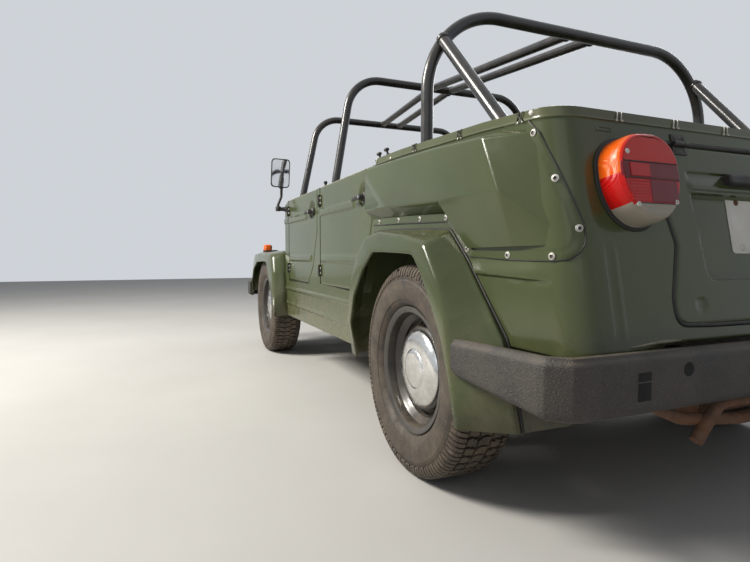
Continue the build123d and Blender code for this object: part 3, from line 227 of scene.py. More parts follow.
M = {
    "paint": paint("olive_paint", (0.072, 0.090, 0.034), (0.054, 0.069, 0.027)),
    "inner_paint": paint("olive_paint_inside", (0.070, 0.085, 0.040), (0.05, 0.062, 0.028), 0.2, 1.3),
    "dusty_paint": paint("olive_paint_dusty", (0.110, 0.122, 0.060), (0.085, 0.095, 0.045), 0.2, 2.6),
    "worn": plain("worn_edge", (0.42, 0.38, 0.29), (0.22, 0.20, 0.13), (0.5, 0.8), 90.0, 0.0006, 0.4,
                  blotch=30.0),
    # near-black fill for the bumper's slots and tow eyes: painted shade standing for the shade inside them
    "painted_shade_hole": plain("painted_shade_opening", (0.003, 0.003, 0.003), (0.005, 0.005, 0.005), (0.85, 0.95), 60.0, 0.0002,
                  0.1),
    "tube": plain("tube_black", (0.012, 0.012, 0.013), (0.020, 0.019, 0.019), (0.22, 0.42), 90.0, 0.0003,
                  0.12, coat=0.35, dust=0.28),
    "black": plain("satin_black", (0.013, 0.013, 0.014), (0.024, 0.023, 0.023), (0.38, 0.6), 160.0, 0.0003,
                   dust=0.35),
    "seal": plain("seal_rubber", (0.008, 0.008, 0.008), (0.015, 0.015, 0.014), (0.5, 0.7), 300.0, 0.0003, 0.2,
                  dust=0.15, edge=0.0),
    "coating": bumper_coating(),
    "tread": rubber("tyre_tread", 0.55),
    "sidewall": rubber("tyre_sidewall", 0.42),
    "rim": plain("rim_black", (0.012, 0.012, 0.013), (0.03, 0.027, 0.024), (0.26, 0.5), 80.0, 0.0004, 0.2,
                 coat=0.3, dust=0.5),
    "chrome": chrome(),
    "zinc": plain("zinc_screws", (0.70, 0.69, 0.66), (0.46, 0.43, 0.38), (0.35, 0.6), 200.0, 0.0002, 0.2,
                  0.4),
    "red": lens("lens_red", (0.50, 0.004, 0.004), (0.80, 0.016, 0.010)),
    "red_dark": lens("lens_reflector", (0.16, 0.003, 0.010), (0.30, 0.006, 0.022), 520.0),
    "amber": lens("lens_amber", (0.80, 0.10, 0.004), (0.90, 0.19, 0.008)),
    "orange": lens("lens_orange", (0.58, 0.009, 0.003), (0.80, 0.028, 0.005)),
    "clear": lens("lens_clear", (0.34, 0.30, 0.24), (0.48, 0.44, 0.37), 240.0),
    "glass": glass("clear_glass", (0.93, 0.96, 0.95)),
    "head_glass": glass("ribbed_glass", (0.95, 0.96, 0.97), 0.05),
    "plate": plain("plate_white", (0.78, 0.77, 0.72), (0.66, 0.64, 0.58), (0.35, 0.5), 220.0, 0.0002, 0.15,
                   dust=0.12),
    "axle": plain("axle_steel", (0.03, 0.028, 0.026), (0.07, 0.055, 0.04), (0.5, 0.8), 60.0, 0.0008, 0.4,
                  dust=0.6),
    "alloy": plain("cast_alloy", (0.30, 0.29, 0.27), (0.20, 0.17, 0.13), (0.45, 0.7), 140.0, 0.0008, 0.5, 0.6,
                   dust=0.4),
    "rust": plain("rusty_steel", (0.17, 0.075, 0.035), (0.07, 0.035, 0.022), (0.65, 0.9), 110.0, 0.0012, 0.7,
                  dust=0.4, blotch=14.0),
    "vinyl": vinyl(),
    "plastic": plain("black_plastic", (0.012, 0.012, 0.012), (0.022, 0.021, 0.020), (0.4, 0.6), 350.0, 0.0004,
                     0.35, dust=0.2),
    "mirror": plain("mirror_face", (0.86, 0.87, 0.88), (0.80, 0.80, 0.79), (0.02, 0.06), 30.0, 0.0001, 0.02,
                    1.0, edge=0.0),
    "dial": plain("dial_face", (0.02, 0.02, 0.02), (0.03, 0.03, 0.03), (0.4, 0.5), 200.0, 0.0002, 0.1),
    "mat": plain("floor_mat", (0.018, 0.018, 0.017), (0.035, 0.032, 0.028), (0.6, 0.85), 240.0, 0.001, 0.5,
                 dust=0.5),
}

# Mesh helpers; sizes are in millimetres unless a line says otherwise


def V(x, y, z):
    return Vector((x * MM, y * MM, z * MM))


def mm(points):
    return [V(*p) for p in points]


def angles(count):
    return [2 * math.pi * k / count for k in range(count)]


def smooth_line(points, steps=6, closed=False):
    """Catmull-Rom line through points."""
    pts = [Vector(p) for p in points]
    n = len(pts)
    out = []
    for i in range(n if closed else n - 1):
        p0 = pts[(i - 1) % n] if closed or i > 0 else pts[0] * 2 - pts[1]
        p1, p2 = pts[i], pts[(i + 1) % n]
        p3 = pts[(i + 2) % n] if closed or i < n - 2 else pts[-1] * 2 - pts[-2]
        for k in range(steps):
            t = k / steps
            out.append(0.5 * ((2 * p1) + (p2 - p0) * t + (2 * p0 - 5 * p1 + 4 * p2 - p3) * t * t
                              + (3 * p1 - p0 - 3 * p2 + p3) * t ** 3))
    if not closed:
        out.append(pts[-1].copy())
    return out


def rounded_line(points, radius, steps=5, closed=False):
    """Straight runs with rounded bends at the inner points, by one radius or by one for each point."""
    pts = [Vector(p) for p in points]
    n = len(pts)
    out = []
    for i, p in enumerate(pts):
        r = radius[i] if isinstance(radius, (list, tuple)) else radius
        a, b = pts[i - 1] - p, pts[(i + 1) % n] - p
        ends = not closed and i in (0, n - 1)
        if ends or r <= 0 or a.length < 1e-7 or b.length < 1e-7:
            out.append(p.copy())
            continue
        angle = a.angle(b)
        cut = min(r / max(math.tan(angle / 2), 1e-3), a.length * 0.48, b.length * 0.48)
        start, end = p + a.normalized() * cut, p + b.normalized() * cut
        for k in range(steps + 1):
            t = k / steps
            out.append(start * (1 - t) ** 2 + p * 2 * t * (1 - t) + end * t * t)
    return out


def flat_loop(shape, radius, steps):
    """Closed outline of (u, v) corners with round bends, as points with no third measure."""
    return rounded_line([Vector((u, v, 0)) for u, v in shape], radius, steps, closed=True)


class Piece:
    """Collects faces of one object; every mesh is in the row frame, in metres."""

    def __init__(self, name, *mats):
        self.name = name
        self.mats = list(mats)
        self.bm = bmesh.new()

    def index(self, mat):
        if mat not in self.mats:
            self.mats.append(mat)
        return self.mats.index(mat)

    def face(self, verts, idx):
        face = self.bm.faces.new(verts)
        face.material_index = idx
        face.smooth = True
        return face

    def grid(self, rows, mat, closed=False, ring=False):
        """Skin over rows of points; closed joins each row's ends and ring joins the last row to the first."""
        idx = self.index(mat)
        verts = [[self.bm.verts.new(p) for p in row] for row in rows]
        count = len(rows)
        for i in range(count if ring else count - 1):
            a, b = verts[i], verts[(i + 1) % count]
            m = len(a)
            for j in range(m if closed else m - 1):
                quad = [a[j], a[(j + 1) % m], b[(j + 1) % m], b[j]]
                if len({tuple(round(c, 7) for c in v.co) for v in quad}) >= 3:
                    self.face(quad, idx)
        return verts

    def cap(self, verts, mat, flip=False):
        return self.face(list(reversed(verts)) if flip else list(verts), self.index(mat))

    def closed_grid(self, rows, mat):
        """Skin with closed rows and a cap on each end."""
        verts = self.grid(rows, mat, closed=True)
        self.cap(verts[0], mat, flip=True)
        self.cap(verts[-1], mat)

    def tube(self, points, radius, mat, sides=12, closed=False):
        """Round bar along a line; radius may be a list, one per point."""
        pts = [Vector(p) for p in points]
        n = len(pts)
        rows = []
        last = None
        for i, p in enumerate(pts):
            before = pts[i - 1] if i or closed else p
            after = pts[(i + 1) % n] if i < n - 1 or closed else p
            along = (after - before).normalized()
            side = along.orthogonal() if last is None else last - along * last.dot(along)
            last = side = side.normalized()
            other = along.cross(side)
            r = (radius[i] if isinstance(radius, (list, tuple)) else radius) * MM
            rows.append([p + (side * math.cos(a) + other * math.sin(a)) * r for a in angles(sides)])
        if closed:
            self.grid(rows, mat, closed=True, ring=True)
        else:
            self.closed_grid(rows, mat)

    def lathe(self, profile, centre, axis, mat, segments=64, mats=None):
        """Turned skin: profile is (distance along axis, radius), centre is in metres."""
        axis = Vector(axis).normalized()
        side = axis.orthogonal().normalized()
        other = axis.cross(side)
        centre = Vector(centre)
        outs = [side * math.cos(a) + other * math.sin(a) for a in angles(segments)]
        for k in range(len(profile) - 1):
            rows = [[centre + axis * (d * MM) + out * (r * MM) for d, r in profile[k:k + 2]] for out in outs]
            self.grid(rows, mats[k] if mats else mat, ring=True)
        bmesh.ops.remove_doubles(self.bm, verts=self.bm.verts, dist=1e-7)

    def box(self, lo, hi, mat, edge=0.0, steps=2, turn=None):
        """Block with rounded edges between two corners; turn is a matrix put on it."""
        part = bmesh.new()
        bmesh.ops.create_cube(part, size=1.0)
        lo, hi = V(*lo), V(*hi)
        size, mid = hi - lo, (hi + lo) / 2
        for v in part.verts:
            v.co = v.co * size + mid
        if edge:
            bmesh.ops.bevel(part, geom=part.edges[:], offset=edge * MM, segments=steps, profile=0.5,
                            affect="EDGES")
        if turn is not None:
            part.transform(turn)
        self.absorb(part, mat)

    def prism(self, outline, plane, low, high, mat, edge=0.0, steps=2):
        """Slab over an outline of (u, v) on plane (origin, u, v), between two heights along u x v."""
        origin, u, v = (Vector(p) for p in plane)
        w = u.cross(v).normalized()
        part = bmesh.new()
        bottom, top = ([part.verts.new(origin + (u * a + v * b + w * height) * MM) for a, b in outline]
                       for height in (low, high))
        n = len(outline)
        for i in range(n):
            part.faces.new([bottom[i], bottom[(i + 1) % n], top[(i + 1) % n], top[i]])
        part.faces.new(list(reversed(bottom)))
        lid = part.faces.new(top)
        bmesh.ops.recalc_face_normals(part, faces=part.faces[:])
        if edge:
            bmesh.ops.bevel(part, geom=list(lid.edges), offset=edge * MM, segments=steps, profile=0.5,
                            affect="EDGES")
        self.absorb(part, mat)

    def absorb(self, part, mat):
        idx = self.index(mat)
        base = {v: self.bm.verts.new(v.co) for v in part.verts}
        for f in part.faces:
            self.face([base[v] for v in f.verts], idx)
        part.free()

    def mirror(self):
        """Adds the other side's copy across the middle plane."""
        faces = list(self.bm.faces)
        made = {}
        for f in faces:
            for v in f.verts:
                if v not in made:
                    made[v] = self.bm.verts.new((-v.co.x, v.co.y, v.co.z))
        for f in faces:
            self.face([made[v] for v in reversed(f.verts)], f.material_index)

    def done(self, body, replaces=(), slot=None, sharp=32.0, thick=0.0, flip_x=False, weight=False, name=None,
             fix=True):
        """Makes the object, on its body, in place of the CAD nodes that it replaces."""
        bm = self.bm.copy()
        if flip_x:
            for v in bm.verts:
                v.co.x = -v.co.x
            bmesh.ops.reverse_faces(bm, faces=bm.faces[:])
        bmesh.ops.remove_doubles(bm, verts=bm.verts, dist=2e-6)
        if fix:
            bmesh.ops.recalc_face_normals(bm, faces=bm.faces[:])
        mesh = bpy.data.meshes.new(name or self.name)
        bm.to_mesh(mesh)
        bm.free()
        for mat in self.mats:
            mesh.materials.append(M[mat])
        mesh.set_sharp_from_angle(angle=math.radians(sharp))
        obj = bpy.data.objects.new(name or self.name, mesh)
        scene.collection.objects.link(obj)
        if thick:
            mod = obj.modifiers.new("thick", "SOLIDIFY")
            mod.thickness = thick * MM
            mod.offset = -1.0
        if weight:
            mod = obj.modifiers.new("normals", "WEIGHTED_NORMAL")
            mod.keep_sharp = True
        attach(obj, body)
        for node in replaces:
            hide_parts(node)


# Shared sizes of the part, in millimetres
SIDE = 730.0
FRONT_AXLE = -1250.0
REAR_AXLE = 1150.0
WHEEL_X = 687.0
WHEEL_Z = 344.0
TILT = math.radians(10.8)
TAIL_O = V(0, 1777, 798)
TAIL_U = Vector((-1, 0, 0))
TAIL_V = Vector((0, -math.sin(TILT), math.cos(TILT)))
TAIL_N = Vector((0, math.cos(TILT), math.sin(TILT)))


def on_tail(x, z, out=0.0):
    """Point on the rear face at x and z, and a distance out of it."""
    return TAIL_O + TAIL_U * (-x * MM) + TAIL_V * ((z - 798) / math.cos(TILT) * MM) + TAIL_N * out * MM


# CAD nodes get their material; the ones that no piece replaces keep their shape
NODES_OF = {
    "inner_paint": "floor_pan", "coating": "front_bumper rear_bumper", "rust": "tow_bar exhaust",
    "red": "tail_lamps", "head_glass": "headlamps", "amber": "indicators", "plate": "number_plate",
    "glass": "windscreen_glass", "tube": "cage_bars front_hoop middle_hoop rear_hoop",
    "axle": "front_axle rear_axle knuckle_left knuckle_right",
    "alloy": "engine_block", "black": "seat_frames steering_column mirrors",
    "vinyl": "front_seats rear_bench", "plastic": "steering_wheel",
}
WHEEL_MATS = {"tyre": "tread", "rim": "rim", "hubcap": "chrome"}
node_mats = {node: mat for mat, nodes in NODES_OF.items() for node in nodes.split()}
for node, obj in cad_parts.items():
    mat = WHEEL_MATS.get(node.split("_")[0]) or node_mats.get(node, "paint")
    for slot in obj.material_slots:
        slot.link = "OBJECT"
        slot.material = M[mat]

# Wheels, each made at the origin with its outer side towards +X
TREAD_FOOT = 334.5
PITCHES = 58
SIDE_RIBS = 150
DISC_PARTS = 160
DISC_HOLES = 8


def turned(x, r, a):
    return V(x, r * math.cos(a), r * math.sin(a))


def make_tyre():
    piece = Piece("tyre_detail", "sidewall", "tread")
    carcass = [
        (72, 193), (74, 207.3), (80, 211), (86, 216), (91, 222), (94.5, 229), (95.5, 231), (96.5, 230.5),
        (98, 234), (100, 243), (101, 252), (101.8, 262), (102, 270), (101.6, 279), (100.4, 286),
        (100.8, 288.5), (99.5, 291), (97.8, 296), (95.5, 303), (92.5, 310), (90, 315),
    ]
    crown = [(88.5, 321), (84, 327.5), (77, 331.5), (66, 334), (40, 335.2), (0, 335.6)]
    half = carcass + crown
    profile = half + [(-x, r) for x, r in reversed(half[:-1])]
    side = len(carcass) - 1
    mats = ["sidewall" if k < side or k >= len(profile) - 1 - side else "tread"
            for k in range(len(profile) - 1)]
    piece.lathe(profile, (0, 0, 0), (1, 0, 0), "sidewall", 180, mats)

    def slab(top, foot, mat="tread"):
        """Block between a top face and its foot, both as (x, radius, angle)."""
        vt, vf = ([piece.bm.verts.new(turned(*c)) for c in corners] for corners in (top, foot))
        for quad in [vt] + [[vf[i - 1], vf[i], vt[i], vt[i - 1]] for i in range(len(top))]:
            piece.bm.faces.new(quad).material_index = piece.index(mat)

    def crown_r(x):
        return 344.0 - 0.5 * (x / 56) ** 2 if x < 56 else 343.5 - 4.5 * ((x - 56) / 30) ** 2

    step = 2 * math.pi / PITCHES
    for i in range(PITCHES):
        a = i * step
        for sgn, start in ((1, a), (-1, a + step / 2)):
            # shoulder blocks, each cut by a sipe, that run over onto the sidewall
            for k in range(2):
                a0 = start + (0.04 + 0.48 * k) * step
                a1 = a0 + 0.36 * step
                line = [(62, crown_r(62)), (76, crown_r(76)), (86, 336.5), (92.5, 329), (96.5, 319),
                        (98.5, 309 - 3 * k)]
                for (x0, r0), (x1, r1) in zip(line, line[1:]):
                    top, foot = [], []
                    for x, r, edge, low in ((x0, r0, a0, 5.0), (x1, r1, a0, 4.0), (x1, r1, a1, 4.0),
                                            (x0, r0, a1, 5.0)):
                        place = edge + 0.10 * step * (x - 62) / 36
                        top.append((x * sgn, r, place))
                        foot.append(((x - (0 if r > 335 else 4)) * sgn, r - (9.0 if r > 325 else low), place))
                    slab(top, foot)
            # middle row: stepped blocks with a bite out of one edge
            corners = [(26, 0.0), (41, -0.10), (56, 0.05), (56, 0.62), (41, 0.72), (37, 0.52), (26, 0.60)]
            corners = [(x * sgn, crown_r(x), start + (0.18 + part) * step) for x, part in corners]
            slab(corners, [(x, TREAD_FOOT, b) for x, r, b in corners])
        # zig-zag centre rib
        corners = [(-17, 0), (4, 0.10), (17, -0.04), (20, 0.45), (11, 0.80), (-4, 0.88), (-20, 0.74),
                   (-16, 0.40)]
        corners = [(x, 344, a + part * step) for x, part in corners]
        slab(corners, [(x, TREAD_FOOT, b) for x, r, b in corners])
    # fine ribs on both sidewalls
    for a in angles(SIDE_RIBS):
        for sgn in (1, -1):
            corners = [(99.2 * sgn, 297, a - 0.006), (97.6 * sgn, 302.5, a - 0.006),
                       (97.6 * sgn, 302.5, a + 0.006), (99.2 * sgn, 297, a + 0.006)]
            slab(corners, [(x, r - 1, b) for x, r, b in corners], "sidewall")
    return piece


def make_rim():
    piece = Piece("rim_detail", "rim")
    barrel = [(82, 200), (82, 206), (80.5, 207), (78.5, 206), (77.5, 202), (76, 196), (73, 191), (66, 189.5),
              (52, 188.5), (46, 187), (40, 181), (34, 171), (30, 167), (-30, 167), (-40, 181), (-52, 188.5),
              (-73, 191), (-78, 204), (-80.5, 207), (-82, 206), (-82, 200), (-76, 184), (-40, 174),
              (-30, 161), (30, 161), (36, 166), (42, 175), (48, 181), (68, 183.5), (76, 187), (82, 200)]
    piece.lathe(barrel, (0, 0, 0), (1, 0, 0), "rim", 120)
    # disc with an inner dome, a stepped outer ring and oblong holes
    n = DISC_PARTS
    rings = [(42, 60), (42, 128), (40.5, 133), (37, 138), (30, 143), (24, 147), (20.5, 151), (19, 156),
             (18.5, 160), (19.5, 163)]
    runs = [[s for s in range(n) if abs(s + 0.5 - n * (h + 0.5) / DISC_HOLES) < 4.6]
            for h in range(DISC_HOLES)]
    holes = {s for run in runs for s in run}
    sides = []
    for depth in (0, 6):
        verts = [[piece.bm.verts.new(turned(x - depth, r, a)) for a in angles(n)] for x, r in rings]
        sides.append(verts)
        for i in range(len(rings) - 1):
            for s in range(n):
                if 3 <= i <= 6 and s in holes:
                    continue
                quad = [verts[i][s], verts[i][(s + 1) % n], verts[i + 1][(s + 1) % n], verts[i + 1][s]]
                piece.bm.faces.new(quad[::-1] if depth else quad)
    front, back = sides
    for run in runs:
        lo, hi = run[0], run[-1] + 1
        loop = [(3, s) for s in range(lo, hi + 1)] + [(i, hi) for i in (4, 5, 6)]
        loop += [(7, s) for s in range(hi, lo - 1, -1)] + [(i, lo) for i in (6, 5, 4)]
        for (i0, s0), (i1, s1) in zip(loop, loop[1:] + loop[:1]):
            piece.bm.faces.new([front[i0][s0 % n], front[i1][s1 % n], back[i1][s1 % n], back[i0][s0 % n]])
    # drum behind the disc with its ribs, and the valve
    drum = [(36, 0.1), (36, 100), (34, 118), (22, 124), (-28, 125), (-34, 122), (-34, 60), (-34, 0.1)]
    piece.lathe(drum, (0, 0, 0), (1, 0, 0), "axle", 72)
    for a in angles(18):
        place = Matrix.Translation(turned(-4, 126, a)) @ Matrix.Rotation(a, 4, "X")
        piece.box((-22, -3, -3.5), (22, 3, 3.5), "axle", 1, 1, place)
    a = math.radians(-62)
    base, tip = turned(22, 156, a), turned(48, 161, a)
    piece.tube([base] + [base.lerp(tip, t) for t in (0.3, 0.55, 0.6)] + [tip], [5.5, 5, 4.2, 4.6, 4.4],
               "seal", 10)
    return piece


def make_cap():
    piece = Piece("hubcap_detail", "chrome")
    profile = [(42.4, 126), (43.5, 128), (46, 127.6), (51, 124), (56.5, 116), (60, 105), (62, 92), (63.4, 78),
               (63.8, 70), (63.6, 66.5), (64.6, 64), (67.5, 61), (69.6, 56), (70.4, 48), (70.8, 30), (71, 12),
               (71, 0.05)]
    piece.lathe(profile, (0, 0, 0), (1, 0, 0), "chrome", 128)
    return piece


TYRE_TURN = {"front": 0.37, "rear": 0.814}
RIM_TURN = {"front": math.radians(50), "rear": math.radians(22)}
WHEEL_PARTS = {"tyre": (make_tyre(), "tyre_rubber"), "rim": (make_rim(), "rim_black"),
               "hubcap": (make_cap(), "hubcap_chrome")}


def place_wheel_part(kind, end, y, side_name, sgn):
    """Copy of a wheel part at its hub; the rim and cap are mirrored on the right side."""
    source, slot = WHEEL_PARTS[kind]
    sided = kind != "tyre"
    copy = Piece(kind, *source.mats)
    copy.bm = source.bm.copy()
    if sided and sgn < 0:
        copy.bm.transform(Matrix.Scale(-1, 4, (1, 0, 0)))
        bmesh.ops.reverse_faces(copy.bm, faces=copy.bm.faces[:])
    turn = Matrix.Rotation(RIM_TURN[end] if sided else TYRE_TURN[end] * sgn, 4, "X")
    copy.bm.transform(Matrix.Translation(V(sgn * WHEEL_X, y, WHEEL_Z)) @ turn)
    node = f"{end}_{side_name}"
    copy.done(f"wheel_{node}", [f"{kind}_{node}"], slot, sharp=30 if sided else 28, weight=True,
              name=f"{kind}_detail_{node}", fix=not sided)


for kinds in (("tyre",), ("rim", "hubcap")):
    for end, y in (("front", FRONT_AXLE), ("rear", REAR_AXLE)):
        for side_name, sgn in (("left", 1), ("right", -1)):
            for kind in kinds:
                place_wheel_part(kind, end, y, side_name, sgn)

# Shape of the rear body
CORNER_R = 75.0
CORNER_MIDDLE = 627.0


def rear_y(z):
    return 1777 - (z - 798) * math.tan(TILT)


def body_x(y, z, out=0.0):
    """Where the rear body's side stands, with its rounded rear corner."""
    rear = rear_y(z)
    if y <= 1480:
        x = SIDE - 8 * (y - 780) / 700
    else:
        x = 722 - 27 * (y - 1480) / (rear - 1480)
    start = rear - CORNER_R
    if y > start:
        x = CORNER_MIDDLE + math.sqrt(max(CORNER_R ** 2 - (y - start) ** 2, 0))
    return x + out


def on_side(y, z, out=0.0):
    return V(body_x(y, z, out), y, z)


# Fenders
def runs(stations, radii, steps=4):
    """Rows through stations of equal length, straight between them and rounded at each by its radius."""
    columns = [rounded_line(column, [r * MM for r in radii], steps) for column in zip(*stations)]
    return list(zip(*columns))


def fender_skin(name, seam, ridge, lip, radii, ridge_round, flange, replaces):
    """Skin from the seam on the body, over the ridge, to the rolled lip of the wheel arch."""
    piece = Piece(name, "paint")
    stations = []
    for (ys, zs), r, p in zip(seam, ridge, lip):
        start, crest, edge = V(SIDE - 1, ys, zs), V(*r), V(*p)
        inward = edge + V(-flange, 0, 0)
        first = start.lerp(crest, 0.12)
        stations.append(rounded_line([start, first, crest, edge, inward],
                                     [0, 0.006, ridge_round * MM, 0.004, 0], 5))
    rows = runs(stations, radii)
    piece.grid(rows, "paint")
    piece.mirror()
    piece.done("body_shell", replaces, "body_paint", sharp=60, thick=3.5)
    bead = Piece(name + "_beading", "seal")
    line = rounded_line([V(0, y, z) for y, z in seam], [r * MM for r in radii], 4)
    if seam[0][0] > 0:
        line = [V(body_x(p.y / MM, p.z / MM, 1.5), p.y / MM, p.z / MM) for p in line]
    else:
        line = [p + V(SIDE + 1.5, 0, 0) for p in line]
    bead.tube(line, 4.2, "seal", 8)
    bead.mirror()
    bead.done("body_shell", sharp=60)


REAR_SEAM = [(575, 300), (577, 450), (640, 600), (720, 740), (806, 809), (988, 806), (1170, 800), (1331, 793),
             (1430, 700), (1515, 600), (1595, 504), (1625, 395), (1655, 285)]
REAR_RIDGE = [(765, 592, 300), (798, 622, 450), (812, 690, 590), (818, 780, 710), (820, 880, 780),
              (820, 988, 800), (820, 1170, 782), (820, 1335, 748), (820, 1415, 640), (820, 1465, 540),
              (820, 1483, 440), (820, 1508, 350), (818, 1528, 268)]
REAR_LIP = [(770, 656, 300), (800, 668, 440), (812, 740, 560), (820, 850, 660), (820, 949, 727),
            (820, 1050, 726), (820, 1160, 723), (820, 1265, 719), (820, 1320, 665), (820, 1375, 590),
            (820, 1440, 490), (820, 1480, 390), (820, 1511, 268)]
REAR_ROUND = [0, 60, 120, 60, 40, 60, 60, 50, 150, 60, 60, 60, 0]
fender_skin("rear_fender_skins", REAR_SEAM, REAR_RIDGE, REAR_LIP,
            REAR_ROUND, 24, 13, ["rear_fenders"])

FRONT_SEAM = [(-1720, 430), (-1720, 640), (-1690, 700), (-1610, 765), (-1400, 762), (-1100, 758), (-845, 752),
              (-790, 600), (-760, 470), (-735, 318)]
FRONT_RIDGE = [(790, -1690, 430), (792, -1690, 610), (798, -1655, 672), (806, -1570, 722), (812, -1400, 733),
               (812, -1110, 735), (806, -905, 722), (812, -838, 600), (818, -800, 470), (820, -752, 318)]
FRONT_LIP = [(820, -1640, 400), (820, -1630, 500), (820, -1560, 600), (820, -1400, 664), (820, -1250, 668),
             (820, -1120, 670), (820, -1019, 669), (820, -935, 560), (820, -868, 470), (820, -742, 316)]


def front_fender():
    piece = Piece("front_fender_skins", "paint")
    stations = []
    for (ys, zs), r, p in zip(FRONT_SEAM, FRONT_RIDGE, FRONT_LIP):
        ahead = (ys + 1250) < -300
        inner_x = 470 if ahead else (500 if ys < -1000 else (700 if ys < -820 else 716))
        start, crest, edge = V(inner_x, ys, zs), V(*r), V(*p)
        stations.append(rounded_line([start, start.lerp(crest, 0.5), crest, edge, edge + V(-13, 0, 0)],
                                     [0, 0.0, 0.045, 0.004, 0], 6))
    rows = runs(stations, [0, 60, 60, 60, 80, 80, 70, 80, 60, 0])
    piece.grid(rows, "paint")
    piece.mirror()
    piece.done("body_shell", ["front_fenders"], "body_paint", sharp=60, thick=3.5)


front_fender()

# Air intakes with their flanges and screws
def intake():
    piece = Piece("intake_shells", "paint", "black")
    # outer face with its upper edge, and the face that turns back to the body behind it
    top_in = [on_side(752, 1064, 1), on_side(900, 1060, 1), on_side(1300, 1045, 1), on_side(1560, 1030, 1),
              on_side(1659, 1010, 3)]
    top = mm([(765, 752, 1052), (765, 900, 1047), (765, 1300, 1031), (764, 1540, 1014), (706, 1661, 1004)])
    low = mm([(765, 747, 893), (765, 960, 890), (765, 1318, 877), (765, 1611, 872), (671, 1774, 746)])
    rows = [rounded_line([a, b, c], [0, 0.012, 0], 5) for a, b, c in zip(top_in, top, low)]
    piece.grid(runs(rows, [0, 0, 0, 30, 0], 6), "paint")
    # slope below the crease, down to the flange
    crease = mm([(765, 1318, 877), (765, 1460, 875), (765, 1611, 872), (715, 1695, 807), (671, 1774, 746)])
    foot = mm([(733, 1433, 736), (729, 1530, 737), (722, 1620, 738), (706, 1705, 739), (673, 1768, 741)])
    rows = [rounded_line([a, a.lerp(b, 0.3), a.lerp(b, 0.7), b], [0, 0.05, 0.05, 0], 3)
            for a, b in zip(crease, foot)]
    piece.grid(runs(rows, [0, 0, 30, 0, 0], 6), "paint")
    # underside at the front, painted
    out = mm([(765, 747, 893), (765, 850, 892), (765, 960, 890), (765, 1318, 877)])
    back = [on_side(757, 858, 2), on_side(870, 856, 2), on_side(965, 853, 2), on_side(1345, 838, 2)]
    rows = [rounded_line([a, a + V(-1, 0, -5), b], [0, 0.002, 0], 3) for a, b in zip(out, back)]
    piece.grid(runs(rows, [0, 0, 0, 0], 3), "paint")
    piece.cap([piece.bm.verts.new(p) for p in [top_in[0], top[0], low[0], back[0]]], "paint")
    piece.cap([piece.bm.verts.new(p) for p in [crease[0], back[3], foot[0]]], "paint")
    piece.mirror()
    piece.done("body_shell", ["air_intakes"], "body_paint", sharp=30)

    # flange round the intake, on the body
    edge = [(757, 834), (870, 830), (1030, 826), (1187, 820), (1318, 816), (1352, 792), (1412, 725),
            (1433, 712), (1593, 705), (1739, 703), (1770, 707), (1781, 722), (1783, 738), (1782, 751),
            (1776, 784), (1756, 846), (1728, 914), (1685, 999), (1650, 1034)]
    inner = [(757, 858), (870, 855), (1030, 851), (1187, 845), (1340, 838), (1368, 808), (1433, 740),
             (1455, 730), (1593, 727), (1728, 727), (1752, 730), (1763, 738), (1767, 747), (1768, 757),
             (1765, 779), (1747, 833), (1717, 898), (1675, 976), (1645, 1010)]
    band = Piece("intake_flanges", "paint")
    rows = []
    for outer, within in zip(smooth_pairs(edge), smooth_pairs(inner)):
        top, lift = on_side(*within, 3.5), on_side(*outer, 3.0)
        rows.append([on_side(*outer, 0.5), lift.lerp(top, 0.06), top.lerp(lift, 0.5), top])
    band.grid(rows, "paint")
    line = [row[0] for row in rows]
    band.mirror()
    band.done("body_shell", slot="body_paint", sharp=50)
    seal = Piece("intake_seals", "seal")
    seal.tube([p + V(0.6, 0, 0) for p in line], 2.2, "seal", 6)
    seal.mirror()
    seal.done("body_shell", sharp=60)
    screws = Piece("intake_screws", "zinc", "black")
    for y, z in ((817, 843), (986, 840), (1144, 834), (1308, 828), (1423, 734), (1591, 717), (1735, 714),
                 (1774, 776), (1728, 890), (1668, 1002), (790, 1082)):
        place = on_side(y, z, 4.0)
        ahead = on_side(y + 4, z, 4.0) - on_side(y - 4, z, 4.0)
        normal = Vector((ahead.y, -ahead.x, 0)).normalized()
        screws.lathe([(0, 8.8), (1.6, 8.8), (2.2, 8.2), (2.4, 5.6), (3.6, 5.2), (4, 4)],
                     place - normal * 0.001, normal, "zinc", 18)
        screws.lathe([(4, 4), (2.4, 3), (2.4, 0.1)], place - normal * 0.001, normal, "black", 10)
    screws.mirror()
    screws.done("body_shell", slot="engine_metal", sharp=40)


def smooth_pairs(points):
    """A few more (y, z) points between the ones given, with bends kept."""
    line = rounded_line([Vector((0, y * MM, z * MM)) for y, z in points], 0.012, 2)
    return [(p.y / MM, p.z / MM) for p in line]


intake()

